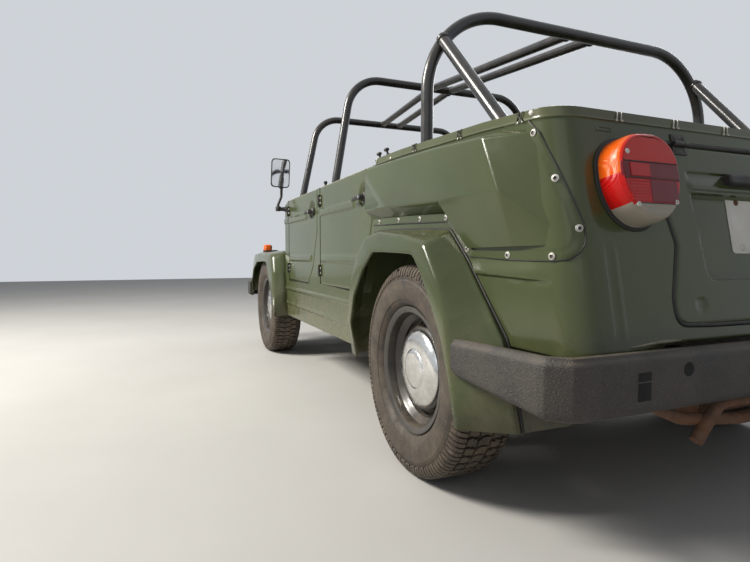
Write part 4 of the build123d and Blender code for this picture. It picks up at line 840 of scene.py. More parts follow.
# Bumpers
def bumper_skin(name, sgn, wing, low_end, node):
    """Pressed bar with rolled edges; sgn is +1 at the rear and wing its length along each side."""
    piece = Piece(name, "coating", "black")
    end = 1890.0
    top, bottom = 513.0, 382.0
    # path of the outer face in plan: x, y, outward direction, upper and lower edge
    path = [(820, end - wing, (1, 0), 497, low_end), (820, end - wing + 20, (1, 0), 499, low_end - 10),
            (820, end - 200, (1, 0), 507, low_end - (low_end - bottom) * 0.62),
            (820, end - 62, (1, 0), 512, bottom + 4), (816, end - 45, (0.94, 0.34), top, bottom + 2),
            (775, end - 5, (0.45, 0.89), top, bottom), (752, end, (0, 1), top, bottom),
            (500, end, (0, 1), top, bottom), (0, end, (0, 1), top, bottom)]
    rows = []
    for x, y, (nx, ny), z1, z0 in path:
        def at(depth, z):
            return V(x - nx * depth, sgn * (y - ny * depth), z)
        tall = z1 - z0
        section = [at(30, z1 - 3), at(24, z1), at(13, z1), at(10, z1 - 1), at(8.5, z1 - 6), at(6, z1 - 9),
                   at(2.5, z1 - 12), at(0.6, z1 - 17), at(0, z1 - 24), at(0, z0 + tall * 0.5), at(0, z0 + 20),
                   at(0.8, z0 + 12), at(3.5, z0 + 5), at(9, z0 + 1), at(16, z0), at(30, z0)]
        rows.append(section)
    rows = runs(rows, [0, 0, 20, 20, 12, 12, 12, 20, 0], 3)
    piece.grid(rows, "coating")
    tip = [V(800, sgn * (end - wing + 2), p.z / MM) for p in rows[0]]
    piece.grid([list(rows[0]), [a.lerp(b, 0.5) - V(0, sgn * 2, 0) for a, b in zip(rows[0], tip)], tip],
               "coating")
    piece.mirror()
    # slots and tow eyes filled with near-black: painted shade in place of the shade inside them
    slots = Piece(name + "_painted_shade_openings", "painted_shade_hole", "coating")
    for x in (590, -590):
        slots.box((x - 22, sgn * (end - 14), 410), (x + 22, sgn * (end + 0.6), 476), "painted_shade_hole", 4, 2)
        slots.box((x - 24, sgn * (end - 14), 451), (x + 24, sgn * (end + 1.4), 454.5), "coating", 1, 1)
    for x in (458, -458):
        slots.lathe([(0, 15.5), (0.6, 15), (0.6, 0.1)], V(x, sgn * (end + 0.2), 469), (0, sgn, 0), "painted_shade_hole", 24)
    for x in (380, -380):
        slots.box((x - 20, sgn * (end - 108), 402), (x + 20, sgn * (end - 28), 500), "black", 3, 2)
    piece.done("body_shell", [node], "bumper_black", sharp=40, thick=3)
    slots.done("body_shell", sharp=35)


bumper_skin("rear_bumper_skin", 1, 398, 412, "rear_bumper")
bumper_skin("front_bumper_skin", -1, 190, 400, "front_bumper")

# Tail lamps
LAMP_X, LAMP_Z = 503.0, 880.0
LAMP_SHAPE = [(-28, 104), (30, 103), (66, 88), (92, 56), (98, 14), (92, -30), (70, -72), (38, -96), (4, -104),
              (-34, -98), (-66, -72), (-86, -30), (-92, 14), (-86, 58), (-62, 90)]
LENS_CUTS = (-63, -7, 31)
FACE = 0.86


def tail_lamp():
    """Lens with a flat rear face, in segments, over a black base; u runs outboard and v up the rear face."""
    loop = smooth_line([Vector((u, v, 0)) for u, v in LAMP_SHAPE], 5, closed=True)
    n = len(loop)

    def at(u, v, out):
        return on_tail(LAMP_X, LAMP_Z) + Vector((1, 0, 0)) * u * MM + TAIL_V * v * MM + TAIL_N * out * MM

    piece = Piece("tail_lamp_lenses", "red", "amber", "red_dark", "clear", "seal", "orange")

    def zone(u, v, side):
        if v < LENS_CUTS[0]:
            return "clear"
        if side:
            return "amber" if v > LENS_CUTS[1] + 12 else "red"
        return "red" if v < LENS_CUTS[1] else "red_dark" if v < LENS_CUTS[2] else "orange"

    # profile from the base to the flat face: scale of the outline and height
    rings = [(1.02, 0), (1.02, 5), (1.0, 7), (0.985, 30), (0.965, 52), (0.935, 61), (0.90, 65), (FACE, 66)]
    for (s0, h0), (s1, h1) in zip(rings, rings[1:]):
        for i in range(n):
            a, b = loop[i], loop[(i + 1) % n]
            mat = "seal" if h1 <= 7 else zone((a.x + b.x) / 2, (a.y + b.y) / 2 * s1, h1 < 64)
            quad = [at(a.x * s0, a.y * s0, h0), at(b.x * s0, b.y * s0, h0), at(b.x * s1, b.y * s1, h1),
                    at(a.x * s1, a.y * s1, h1)]
            f = piece.bm.faces.new([piece.bm.verts.new(p) for p in quad])
            f.material_index = piece.index(mat)
            f.smooth = True
    # flat face, cut into strips between the segment lines
    cuts = [-FACE * 104, *LENS_CUTS, FACE * 104]

    def spans(v):
        xs = []
        for i in range(n):
            a, b = loop[i] * FACE, loop[(i + 1) % n] * FACE
            if (a.y - v) * (b.y - v) <= 0 and abs(a.y - b.y) > 1e-9:
                xs.append(a.x + (b.x - a.x) * (v - a.y) / (b.y - a.y))
        return (min(xs), max(xs)) if xs else (0, 0)

    for low, high in zip(cuts, cuts[1:]):
        steps = 10
        rows = []
        for k in range(steps + 1):
            v = min(max(low + (high - low) * k / steps, -FACE * 103.6), FACE * 103.2)
            x0, x1 = spans(v)
            rows.append([at(x0 + (x1 - x0) * j / 12, v, 66.0 - (0.0 if 0 < k < steps else 0.8))
                         for j in range(13)])
        mat = dict(zip(LENS_CUTS, ("red", "red_dark", "orange"))).get(low, "clear")
        piece.grid(rows, mat)
    # bright reflector, ribs between the lower segments, and screws
    turn = Matrix(((1, 0, 0), (0, TAIL_N.y, TAIL_V.y), (0, TAIL_N.z, TAIL_V.z))).to_4x4()
    place = Matrix.Translation(on_tail(LAMP_X, LAMP_Z)) @ turn
    piece.box((10, 65.5, -3), (68, 67.4, 27), "red", 0.6, 1, place)
    piece.box((-70, 65, -60), (14, 66.8, -10), "red_dark", 0.6, 1, place)
    for i in range(7):
        v = -58 + i * 7.2
        piece.box((18, 65, v), (74, 66.8, v + 4.8), "red", 0.6, 1, place)
    for v in LENS_CUTS:
        x0, x1 = spans(v)
        piece.box((x0, 64, v - 1), (x1, 66.4, v + 1), "seal", 0.3, 1, place)
    for u, v in ((70, 52), (56, -66), (-62, -58)):
        piece.lathe([(64, 6.2), (66.5, 6), (67.5, 5), (67.5, 2.2), (66, 1.8), (66, 0.1)],
                    at(u, v, 0), TAIL_N, "zinc", 14)
    piece.mirror()
    piece.done("body_shell", ["tail_lamps"], "tail_lens", sharp=30)
    gasket = Piece("tail_lamp_gaskets", "seal")
    line = [at(p.x * 1.03, p.y * 1.03, 1.0) for p in loop]
    gasket.tube(line, 4.5, "seal", 8, closed=True)
    gasket.mirror()
    gasket.done("body_shell", sharp=60)


tail_lamp()

# Headlamps, indicators and mirrors
def headlamps():
    piece = Piece("headlamp_units", "head_glass", "chrome", "black")
    centre = V(612, -1765, 668)
    ahead = Vector((0, -1, 0))
    dome = [(0, 85.5)]
    steps = [math.radians(90 - k * 11.2) for k in range(9)]
    dome += [(6 + 22 * math.cos(a), 85.5 * math.sin(a)) for a in steps] + [(28, 0.2)]
    piece.lathe(dome, centre + Vector((0, 0.004, 0)), ahead, "head_glass", 64)
    piece.lathe([(-30, 92), (-4, 93), (6, 91.5), (10, 88.5), (8, 85.5), (0, 84.5), (-4, 84.5)], centre, ahead,
                "chrome", 64)
    steps = [math.radians(k * 10) for k in range(10)]
    bowl = [(-4 - 55 * math.sin(a), 84.5 * math.cos(a)) for a in steps]
    piece.lathe(bowl, centre, ahead, "chrome", 48)
    piece.lathe([(-10, 0.1), (-10, 11), (-35, 12), (-55, 14)], centre, ahead, "chrome", 20)
    piece.lathe([(-30, 92.5), (-75, 90)], centre, ahead, "black", 48)
    piece.mirror()
    piece.done("body_shell", ["headlamps"], "head_lens", sharp=40)


headlamps()


def indicators():
    piece = Piece("indicator_lamps", "amber", "plastic", "zinc")
    y0 = -1545
    shape = [(-30, -40), (22, -40), (30, -18), (30, 18), (22, 40), (-30, 40)]
    foot = [(x * 1.06, y * 1.06) for x, y in shape]
    piece.prism(foot, (V(706, y0, 744), (1, 0, 0), (0, 1, 0)), -20, 12, "plastic", 4, 2)
    loop = flat_loop(shape, 12, 4)
    rings = ((1.0, 756), (1.0, 760), (0.97, 776), (0.92, 788), (0.84, 795), (0.70, 799), (0.4, 800.5),
             (0.02, 801))
    rows = [[V(706 + p.x * scale, y0 + p.y * scale, height) for p in loop] for scale, height in rings]
    piece.grid(rows, "amber", closed=True)
    piece.box((676, y0 - 38, 752), (690, y0 + 38, 794), "plastic", 5, 2)
    for y in (-26, 26):
        piece.lathe([(0, 4.5), (1.5, 4), (2, 0.1)], V(698, y0 + y, 799.5), (0, 0, 1), "zinc", 12)
    piece.mirror()
    piece.done("body_shell", ["indicators"], "amber_lens", sharp=35)


indicators()


def mirrors():
    piece = Piece("mirror_heads", "black", "mirror", "seal")
    centre = (770, -745, 1250)
    loop = rounded_line([Vector((x, 0, z)) for x, z in ((-62, 92), (60, 94), (68, -90), (-54, -95))], 26, 6,
                        closed=True)

    def shell(mat, *rings):
        """Rings of the head's outline, each with its two scales and its place along Y."""
        x0, y0, z0 = centre
        rows = [[V(x0 + p.x * a, y0 + y, z0 + p.z * b) for p in loop] for a, b, y in rings]
        piece.grid(rows, mat, closed=True)

    shell("black", (0.90, 0.93, 12), (0.93, 0.95, 15.5), (0.98, 0.985, 16), (1, 1, 13), (1, 1, 4),
          (0.97, 0.98, -5), (0.86, 0.90, -14), (0.62, 0.68, -20), (0.3, 0.3, -23), (0.01, 0.01, -24))
    shell("mirror", (0.905, 0.935, 12), (0.60, 0.6, 12.3), (0.01, 0.01, 12.4))
    arm = rounded_line(mm([(764, -748, 1160), (766, -748, 1100), (786, -746, 1052), (794, -745, 1020),
                           (740, -745, 1018)]),
                       [0, 0.05, 0.03, 0.02, 0], 6)
    piece.tube(arm, 8.5, "black", 12)
    piece.box((752, -756, 1152), (780, -738, 1172), "black", 4, 2)
    piece.lathe([(0, 19), (10, 19), (13, 16), (30, 13), (50, 11.5), (52, 0.1)], V(729, -745, 1018),
                (1, 0, 0), "black", 24)
    piece.lathe([(-16, 0.1), (-16, 15), (-12, 17), (12, 17), (16, 15), (16, 0.1)],
                V(788, -745, 1020), (0, 0, 1), "black", 24)
    piece.mirror()
    piece.done("body_shell", ["mirrors"], "mirror_black", sharp=35)


mirrors()

# Doors: pressed skin, handle, hinge halves and inner panel
BELT = 1069.0
DOOR_EDGES = {
    "front": ([(-690, 559), (-690, 1069)], [(-226, 559), (-126, 654), (-43, 850), (-43, 1069)],
              [0, 110, 110, 0]),
    "rear": ([(16, 564), (16, 1069)], [(524, 564), (558, 575), (614, 623), (668, 708), (712, 789), (733, 852),
                                       (737, 1069)],
             [0, 30, 60, 90, 90, 60, 0]),
}
GRIPS = {"front": (-223.0, -105.0), "rear": (557.0, 675.0)}
RIB_TAILS = {"front": -40.0, "rear": -34.0}


def edge_y(points, radii, z):
    """Where a door's edge stands at a height."""
    line = rounded_line([Vector((0, y, h)) for y, h in points], radii, 8)
    for a, b in zip(line, line[1:]):
        if a.z <= z <= b.z and b.z > a.z:
            return a.y + (b.y - a.y) * (z - a.z) / (b.z - a.z)
    return line[-1].y if z >= line[-1].z else line[0].y


def ramp_step(value, low, high):
    t = min(max((value - low) / (high - low), 0.0), 1.0)
    return t * t * (3 - 2 * t)


def rib_rise(z, low, high, slope):
    return min(ramp_step(z, low, low + slope), 1 - ramp_step(z, high - slope, high))


def door_height(end, y, z, rear):
    """How far the skin stands out of the body side."""
    grip = GRIPS[end]
    front = DOOR_EDGES[end][0][0][0]
    belt_end = 1 - ramp_step(y, grip[0] - 34, grip[0] - 14)
    rise = 5.5 * rib_rise(z, 918, 960, 8) * belt_end
    tail = rear + RIB_TAILS[end]
    low_end = ramp_step(y, front + 16, front + 26) * (1 - ramp_step(y, tail - 12, tail))
    rise += 6.5 * rib_rise(z, 678, 722, 9) * low_end
    away = math.hypot((y - (grip[1] - 30)) / 56, (z - 964) / 50)
    if away < 1:
        rise -= 17 * min(1.0, 1.35 * (1 - away ** 2)) ** 1.2
    return rise


def rim_of(grid):
    """Points right round the edge of a grid of vertices."""
    loop = grid[0] + [row[-1] for row in grid[1:-1]] + grid[-1][::-1] + [row[0] for row in grid[-2:0:-1]]
    return [v.co.copy() for v in loop]


def door_shell(end):
    piece = Piece(f"{end}_door_shell", "paint", "inner_paint", "seal")
    front_edge, rear_edge, radii = DOOR_EDGES[end]
    bottom = front_edge[0][1]
    corner = 22.0
    levels = [bottom, bottom + 0.8, bottom + 2.6, bottom + 6]
    z = bottom + 14
    while z < BELT - 12:
        levels.append(z)
        near = any(abs(z - mark) < 14 for mark in (678, 722, 918, 960))
        z += 3.2 if near else 11.0
    levels += [BELT - 8, BELT - 3, BELT - 1, BELT]
    rows = []
    columns = 84
    for z in levels:
        y0 = edge_y(front_edge, [0, 0], z)
        y1 = edge_y(rear_edge, radii, z)
        if z < bottom + corner:
            cut = corner - math.sqrt(max(corner ** 2 - (corner - (z - bottom)) ** 2, 0))
            y0 += cut
            y1 -= 0.6 * cut if end == "front" else 0
        spots = [y0, y0 + 0.8, y0 + 2.6, y0 + 6]
        spots += [y0 + 6 + (y1 - y0 - 12) * k / columns for k in range(1, columns)]
        spots += [y1 - 6, y1 - 2.6, y1 - 0.8, y1]
        row = []
        for y in spots:
            edge = min(y - y0, y1 - y, z - bottom, BELT - z)
            drop = 3.2 * (1 - min(edge, 6) / 6) ** 2.2
            row.append(V(SIDE + door_height(end, y, z, y1) - drop, y, z))
        rows.append(row)
    rim = rim_of(piece.grid(rows, "paint"))
    middle = sum(rim, Vector()) / len(rim)
    walls = [rim]
    for x, inset in ((SIDE - 20, 0.0), (SIDE - 21, 1.2), (SIDE - 33, 1.2), (SIDE - 36, 3.0)):
        ring = []
        for p in rim:
            toward = Vector((0, middle.y - p.y, middle.z - p.z)).normalized() * inset * MM
            ring.append(Vector((x * MM, p.y, p.z)) + toward)
        walls.append(ring)
    piece.grid(walls[:3], "paint", closed=True)
    verts = piece.grid(walls[2:], "inner_paint", closed=True)
    piece.cap(verts[-1], "inner_paint")
    # rubber seal round the edge, inside the gap
    line = []
    for p in rim:
        if p.z < (BELT - 2) * MM:
            out = Vector((0, p.y - middle.y, 0.7 * (p.z - middle.z))).normalized()
            line.append(Vector((p.x - 0.0045, p.y, p.z)) + out * 0.0034)
    start = max(range(len(line)), key=lambda k: (line[k - 1] - line[k]).length)
    piece.tube(line[start:] + line[:start], 3.1, "seal", 8)
    # inner panel of the door with a raised border and a pull
    y0, y1 = front_edge[0][0] + 40, edge_y(rear_edge, radii, 700) - 60
    piece.box((SIDE - 40, y0, 640), (SIDE - 35.5, y1, 1010), "inner_paint", 4, 2)
    piece.box((SIDE - 46, y1 - 180, 946), (SIDE - 39, y1 - 60, 962), "seal", 3, 2)
    # top rail with its bright worn edge
    top0, top1 = front_edge[0][0] + 6, edge_y(rear_edge, radii, 1060) - 6
    piece.box((SIDE - 30, top0, BELT - 3), (SIDE - 8, top1, BELT + 1.6), "paint", 1.2, 2)
    piece.box((SIDE - 5.5, top0, BELT - 2.5), (SIDE - 2.2, top1, BELT + 1.2), "worn", 0.8, 2)
    if end == "rear":
        piece.lathe([(0, 8), (10, 7.5), (13, 5), (16, 9), (24, 10), (28, 6), (28.5, 0.1)],
                    V(SIDE - 14, 70, BELT), (0, 0, 1), "black", 18)
    return piece


def door_handle(end):
    piece = Piece(f"{end}_door_handle", "black", "chrome")
    boss_y = GRIPS[end][1] - 22
    centre = V(SIDE - 12, boss_y, 955)
    piece.lathe([(0, 0.5), (0, 24), (12, 24), (18.5, 21.5), (21, 17), (34, 14.5), (40.5, 12.5), (42.5, 0.1)],
                centre, (1, 0, 0), "black", 36)
    path = smooth_line([V(SIDE + 18, boss_y + 13, 956), V(SIDE + 23, boss_y, 956),
                        V(SIDE + 25, boss_y - 26, 955), V(SIDE + 25, boss_y - 60, 953),
                        V(SIDE + 22, boss_y - 88, 950), V(SIDE + 17, boss_y - 101, 948)], 6)
    rows = []
    count = len(path)
    for i, p in enumerate(path):
        t = i / (count - 1)
        full = math.sin(math.pi * min(max(t * 0.94 + 0.03, 0), 1)) ** 0.35
        tall = (12.5 - 4.5 * t) * full * MM
        thick = (7.5 - 2.5 * t) * full * MM
        rows.append([p + Vector((math.cos(a) * thick, 0, math.sin(a) * tall)) for a in angles(18)])
    piece.closed_grid(rows, "black")
    piece.lathe([(0, 5.5), (1.2, 5), (1.2, 2.2), (0.4, 1.8), (0.4, 0.1)],
                V(SIDE + 29.5, boss_y, 956), (1, 0, 0), "chrome", 16)
    return piece


def door_hinges(end):
    piece = Piece(f"{end}_door_hinges", "black", "zinc")
    y = DOOR_EDGES[end][0][0][0]
    for z in (635, 1000):
        piece.lathe([(-23, 0.2), (-23, 6.2), (-22.2, 7), (22.2, 7), (23, 6.2), (23, 0.2)],
                    V(SIDE + 7.5, y, z), (0, 0, 1), "black", 24)
        piece.box((SIDE - 0.5, y + 1, z - 23), (SIDE + 3.8, y + 23, z + 23), "black", 1.2, 2)
        for dz in (-13, 13):
            piece.lathe([(0, 4.5), (1.2, 4.5), (2.4, 3), (2.4, 0.1)], V(SIDE + 3.6, y + 15, z + dz),
                        (1, 0, 0), "zinc", 12)
    return piece


for end in ("front", "rear"):
    shell, handle, hinges = door_shell(end), door_handle(end), door_hinges(end)
    for side_name, flip in (("left", False), ("right", True)):
        node = f"{end}_door_{side_name}"
        shell.done(node, [node], "body_paint", sharp=40, flip_x=flip, name=f"{node}_skin")
        handle.done(node, sharp=40, flip_x=flip, name=f"{node}_handle")
        hinges.done(node, sharp=40, flip_x=flip, name=f"{node}_hinge_halves")

# Rear body: double wall with its pressings, deck, wheelhouses and bulkhead
WALL_THICK = 30.0
BODY_BOTTOM = 514.0
BODY_FRONT_Y = 780.0
DECK_TOP = 810.0
DECK_LOW = 785.0
HOUSE_X = 560.0
BENCH_X = 528.0
BULKHEAD_Y = 945.0
BULKHEAD_TOP = 1040.0
LID_SIDE = [(0, 553), (293, 555), (403, 560), (405, 613), (369, 742), (388, 812), (396, 860), (392, 986),
            (0, 990)]
LID_ROUND = [0, 60, 74, 60, 50, 20, 20, 26, 0]
LID_SEAM = 11.0


def body_rim(y):
    """Height of the rear body's rim."""
    if y < 1000:
        return 1091 - 3 * (y - BODY_FRONT_Y) / 220
    return 1088 - 31 * (y - 1000) / 727


def body_plan(z, margin, parts=9):
    """Plan line of the rear body at a height, from one side's front round to the tail, as (x, y, where)."""
    rear = rear_y(z) - margin
    start = rear_y(z) - CORNER_R
    spots = [BODY_FRONT_Y + (1480 - BODY_FRONT_Y) * k / 12 for k in range(12)]
    spots += [1480 + (start - 1480) * k / 10 for k in range(10)]
    line = [(body_x(y, z) - margin, y, 0.0) for y in spots]
    radius = CORNER_R - margin
    for k in range(parts + 1):
        a = math.pi / 2 * k / parts
        line.append((CORNER_MIDDLE + radius * math.cos(a), start + radius * math.sin(a), k / parts))
    marks = [612 - 5 * k for k in range(12)] + [540 - 36 * k for k in range(16)]
    line += [(x, rear, 2.0) for x in marks if x > 0]
    return line + [(0.0, rear, 2.0)]


def bulge(value, middle, half):
    """Soft ridge over one value, from 0 to 1."""
    away = abs(value - middle) / half
    return (1 - away * away) ** 2 if away < 1 else 0.0


def body_relief(x, y, z, where):
    """How far the outer skin stands out: ridge under the intake, corner ribs, and the band along the rim."""
    rise = 0.0
    fade = ramp_step(y, 1440, 1500) * (1 - ramp_step(y, 1650, 1745)) if where <= 1 else 0.0
    crease = 662 - 0.04 * (y - 1500)
    rise += 8.0 * ramp_step(z, crease, crease + 6) * (1 - ramp_step(z, 672, 708)) * fade
    tall = ramp_step(z, 528, 545) * (1 - ramp_step(z, 726, 742))
    if where >= 1:
        rise += tall * (2.4 * bulge(x, 612, 8) - 3.0 * bulge(x, 624, 9) + 1.8 * bulge(x, 578, 12))
    under = body_rim(y) - z
    rise += 2.6 * (1 - ramp_step(under, 25, 27)) + 1.4 * bulge(under, 26, 4)
    return rise


def rear_wall():
    """Closed double wall from the left front round the tail to the right front."""
    piece = Piece("rear_wall", "paint")
    low = [BODY_BOTTOM + d for d in (0, 1.5, 5, 9)] + [BODY_BOTTOM + 16 + 9 * k for k in range(15)]
    low += [656 + 2.5 * k for k in range(22)] + [712 + 9 * k for k in range(24)]
    high = [88, 70, 52, 38, 33, 30, 28, 27, 26, 25, 24, 22, 18, 12, 7, 4, 2]
    stations = []
    count = len(body_plan(700, 0))
    for k in range(count):
        column = []
        foot = body_plan(BODY_BOTTOM, 0)[k]
        bottom = BODY_BOTTOM - 26 * (ramp_step(foot[0], 430, 600) if foot[2] > 1 else 1)
        share = (656 - bottom) / (656 - BODY_BOTTOM)
        for level in low:
            z = level if level > 656 else bottom + (level - BODY_BOTTOM) * share
            x, y, where = body_plan(z, 0)[k]
            column.append((x, y, z, where, True))
        rim = body_rim(body_plan(1060, 0)[k][1])
        for drop in high:
            x, y, where = body_plan(rim - drop, 0)[k]
            column.append((x, y, rim - drop, where, True))
        for margin, drop in ((1.0, 0.6), (3, 0), (WALL_THICK - 3, 0), (WALL_THICK - 1, 0.6), (WALL_THICK, 2)):
            x, y, where = body_plan(rim - drop, margin)[k]
            column.append((x, y, rim - drop, where, False))
        for z in (900, DECK_LOW, 650, bottom + 2, bottom):
            margin = WALL_THICK if z > bottom + 2 else WALL_THICK - 2
            x, y, where = body_plan(z, margin)[k]
            column.append((x, y, z, where, False))
        out = []
        for i, (x, y, z, where, outer) in enumerate(column):
            if outer:
                rise = body_relief(x, y, z, where)
                a = math.pi / 2 * min(where, 1)
                x, y = x + rise * math.cos(a), y + rise * math.sin(a)
                inset = {0: 4, 1: 1.5, 2: 0.4}.get(i, 0)
                x, y = x - inset * math.cos(a), y - inset * math.sin(a)
            out.append(V(x, y, z))
        stations.append(out)
    other = [[Vector((-p.x, p.y, p.z)) for p in column] for column in reversed(stations[:-1])]
    piece.closed_grid(stations + other, "paint")
    return piece


def cut_away(piece, tools):
    """Takes closed tool pieces out of a closed piece and keeps the result in it."""
    def plain(source):
        mesh = bpy.data.meshes.new("cut")
        work = source.bm.copy()
        bmesh.ops.remove_doubles(work, verts=work.verts, dist=2e-6)
        bmesh.ops.recalc_face_normals(work, faces=work.faces[:])
        work.to_mesh(mesh)
        work.free()
        made = bpy.data.objects.new("cut", mesh)
        scene.collection.objects.link(made)
        return made

    base = plain(piece)
    made = [plain(tool) for tool in tools]
    for tool in made:
        mod = base.modifiers.new("cut", "BOOLEAN")
        mod.operation = "DIFFERENCE"
        mod.solver = "EXACT"
        mod.object = tool
    bpy.context.view_layer.update()
    result = bpy.data.meshes.new_from_object(base.evaluated_get(bpy.context.evaluated_depsgraph_get()))
    piece.bm.free()
    piece.bm = bmesh.new()
    piece.bm.from_mesh(result)
    for face in piece.bm.faces:
        face.smooth = True
    for obj in [base] + made:
        bpy.data.objects.remove(obj)


def lid_line(grow, steps=7):
    """Outline of the engine lid as (x, z) in millimetres, grown by a margin, right round."""
    half = rounded_line([Vector((x, z, 0)) for x, z in LID_SIDE], LID_ROUND, steps)
    line = half + [Vector((-p.x, p.y, 0)) for p in reversed(half[1:-1])]
    count = len(line)
    out = []
    for i, p in enumerate(line):
        along = (line[(i + 1) % count] - line[i - 1]).normalized()
        out.append((p.x + along.y * grow, p.y - along.x * grow))
    return out


def arch_line(inset):
    """Fender seam as (y, z), moved into the wheel opening."""
    line = rounded_line([Vector((0, y, z)) for y, z in REAR_SEAM], REAR_ROUND, 4)
    out = []
    for i, p in enumerate(line):
        along = (line[min(i + 1, len(line) - 1)] - line[max(i - 1, 0)]).normalized()
        out.append((p.y + along.z * inset, p.z - along.y * inset))
    return out


wall = rear_wall()
opening = Piece("opening", "paint")
outline = [(-x, (z - 798) / math.cos(TILT)) for x, z in lid_line(LID_SEAM)]
opening.prism(outline, (TAIL_O, TAIL_U, TAIL_V), -90, 60, "paint")
arches = []
for sgn in (1, -1):
    arch = Piece("arch", "paint")
    arch.prism(arch_line(3), (V(0, 0, 0), (0, 1, 0), (0, 0, 1)), 0, 250, "paint")
    for v in arch.bm.verts:
        v.co.x = sgn * (0.55 + v.co.x)
    arches.append(arch)
cut_away(wall, [opening] + arches)
for face in wall.bm.faces:
    middle = face.calc_center_median() / MM
    if middle.z > body_rim(middle.y) - 26:
        face.material_index = wall.index("dusty_paint")

deck = [(x, y) for x, y, where in body_plan(DECK_TOP, WALL_THICK - 1)]
deck += [(-x, y) for x, y in reversed(deck[:-1])]
wall.prism([p for p in deck if p[1] > BULKHEAD_Y] + [(-690, 946), (690, 946)],
           (V(0, 0, 0), (1, 0, 0), (0, 1, 0)), DECK_LOW, DECK_TOP, "paint")


def wall_box(x0, x1, low, high, *rounding):
    """Box of the rear body between two x and the (y, z) of two corners."""
    x0, x1 = sorted((x0, x1))
    wall.box((x0, *low), (x1, *high), "paint", *rounding)


for sgn in (1, -1):
    wall_box(sgn * BENCH_X, sgn * 700, (BODY_FRONT_Y, 790), (BULKHEAD_Y + 2, 809))
    line = arch_line(2.5)
    wall.grid([[V(sgn * x, y, z) for x in (HOUSE_X, 600, 690, 727)] for y, z in line], "inner_paint")
    wall.cap([wall.bm.verts.new(V(sgn * HOUSE_X, y, z)) for y, z in line], "inner_paint")
    wall_box(sgn * BENCH_X, sgn * 688, (552, 760), (BODY_FRONT_Y, 808), 4, 2)
    wall_box(sgn * BENCH_X, sgn * (BENCH_X + 22), (560, 602), (BULKHEAD_Y, 806), 3, 2)
wall.box((-BENCH_X - 15, BULKHEAD_Y, 570), (BENCH_X + 15, BULKHEAD_Y + WALL_THICK, BULKHEAD_TOP), "paint", 8,
         3)
for i in range(7):
    x = -420 + i * 140
    wall.box((x - 26, 1010, DECK_TOP - 2), (x + 26, 1600, DECK_TOP + 5), "paint", 4, 2)
for sgn in (1, -1):
    worn = [on_tail(x, 520 - 6 * ramp_step(x, 470, 560), 0.4) for x in (405, 430, 470, 510, 545, 566)]
    wall.tube([Vector((sgn * p.x, p.y, p.z)) for p in worn], [1, 3.4, 4, 3, 2.2, 0.8], "worn", 8)
wall.done("body_shell", ["rear_body"], "body_paint", sharp=34, name="rear_body_shell", fix=False)

# Seal in the seam round the engine lid, and the fittings along the rim
seam = Piece("engine_lid_seal", "seal")
seam.tube([on_tail(x, z, -2.0) for x, z in lid_line(LID_SEAM * 0.5, 5)], 5.8, "seal", 10, closed=True)
seam.done("body_shell", sharp=60)


def wire_loops():
    piece = Piece("rim_fittings", "black", "zinc", "paint")

    def frame_at(x, y, z):
        """Place on the band and its directions: along, up and out."""
        if x > 690:
            return on_side(y, z, 4.2), Vector((0, 1, 0)), Vector((0, 0, 1)), Vector((1, 0, 0))
        return on_tail(x, z, 4.6), Vector((-1, 0, 0)), TAIL_V, TAIL_N

    for x, y, z in ((730, 1105, 1072), (730, 1378, 1058), (730, 1624, 1047), (511, 0, 1043), (322, 0, 1043),
                    (134, 0, 1043)):
        place, along, up, out = frame_at(x, y, z)
        lean = 0.5 if x > 690 else 0.35
        for shift in (-6.5, 6.5):
            foot = place + along * (shift - 9 * lean) * MM - up * 0.010
            head = place + along * (shift + 9 * lean) * MM + up * 0.011
            line = [foot - out * 0.004, foot + out * 0.001, head + out * 0.001, head - out * 0.004]
            piece.tube(rounded_line(line, 0.0025, 3), 1.35, "black" if x > 690 else "zinc", 8)
        if x > 690:
            foot, head = place + along * 0.011 - up * 0.009, place - along * 0.011 + up * 0.010
            piece.tube([foot - out * 0.003, foot + out * 0.003, head + out * 0.003, head - out * 0.003], 1.35,
                       "black", 8)
        for u in (-1, 1):
            spot = place + along * u * 0.0085 - up * 0.011
            piece.lathe([(-2, 3.2), (0.8, 3), (1.6, 0.1)], spot, out, "zinc", 10)
    for y, z in ((862, 1101), (794, 1097)):
        piece.lathe([(-4, 7), (2, 7.5), (4, 4), (12, 4), (15, 10), (21, 11), (25, 7), (25.5, 0.1)],
                    V(body_x(y, z) - 12, y, z - 8), (0.35, 0, 1), "black", 18)
    piece.lathe([(0, 5.2), (1.5, 5), (3, 3), (3, 0.1)], on_side(916, 1069, 2.6), (1, 0, 0), "zinc", 14)
    piece.lathe([(0, 7), (2, 6.5), (3.5, 4), (3.5, 0.1)], on_side(1659, 1050, 2.6), (1, 0.4, 0), "zinc", 16)
    # oblong pressing under the band
    loop = flat_loop(((-26, -5), (26, -5), (26, 5), (-26, 5)), 4.9, 5)
    rings = ((1.0, 0.1), (0.93, 1.7), (0.78, 1.7), (0.66, 0.2))
    rows = [[on_tail(560 - p.x * s, 1008 + p.y * s, h) for p in loop] for s, h in rings]
    piece.grid(rows, "paint", closed=True)
    piece.mirror()
    piece.done("body_shell", sharp=40)


wire_loops()

# Engine lid with its plate recess, lamp bar, hinges, and the blank plate
RECESS = {"low": 653.0, "high": 927.0, "low_half": 273.0, "high_half": 302.0, "deep": 15.0}
LEDGE_LOW, LEDGE_HIGH = 871.0, 885.0
LID_HINGE = 318.0


def lid_half(z):
    """Half width of the lid at a height."""
    line = rounded_line([Vector((x, h, 0)) for x, h in LID_SIDE], LID_ROUND, 9)
    for a, b in zip(line, line[1:]):
        if a.y <= z <= b.y and b.y > a.y and a.x > 200:
            return a.x + (b.x - a.x) * (z - a.y) / (b.y - a.y)
    return 392.0


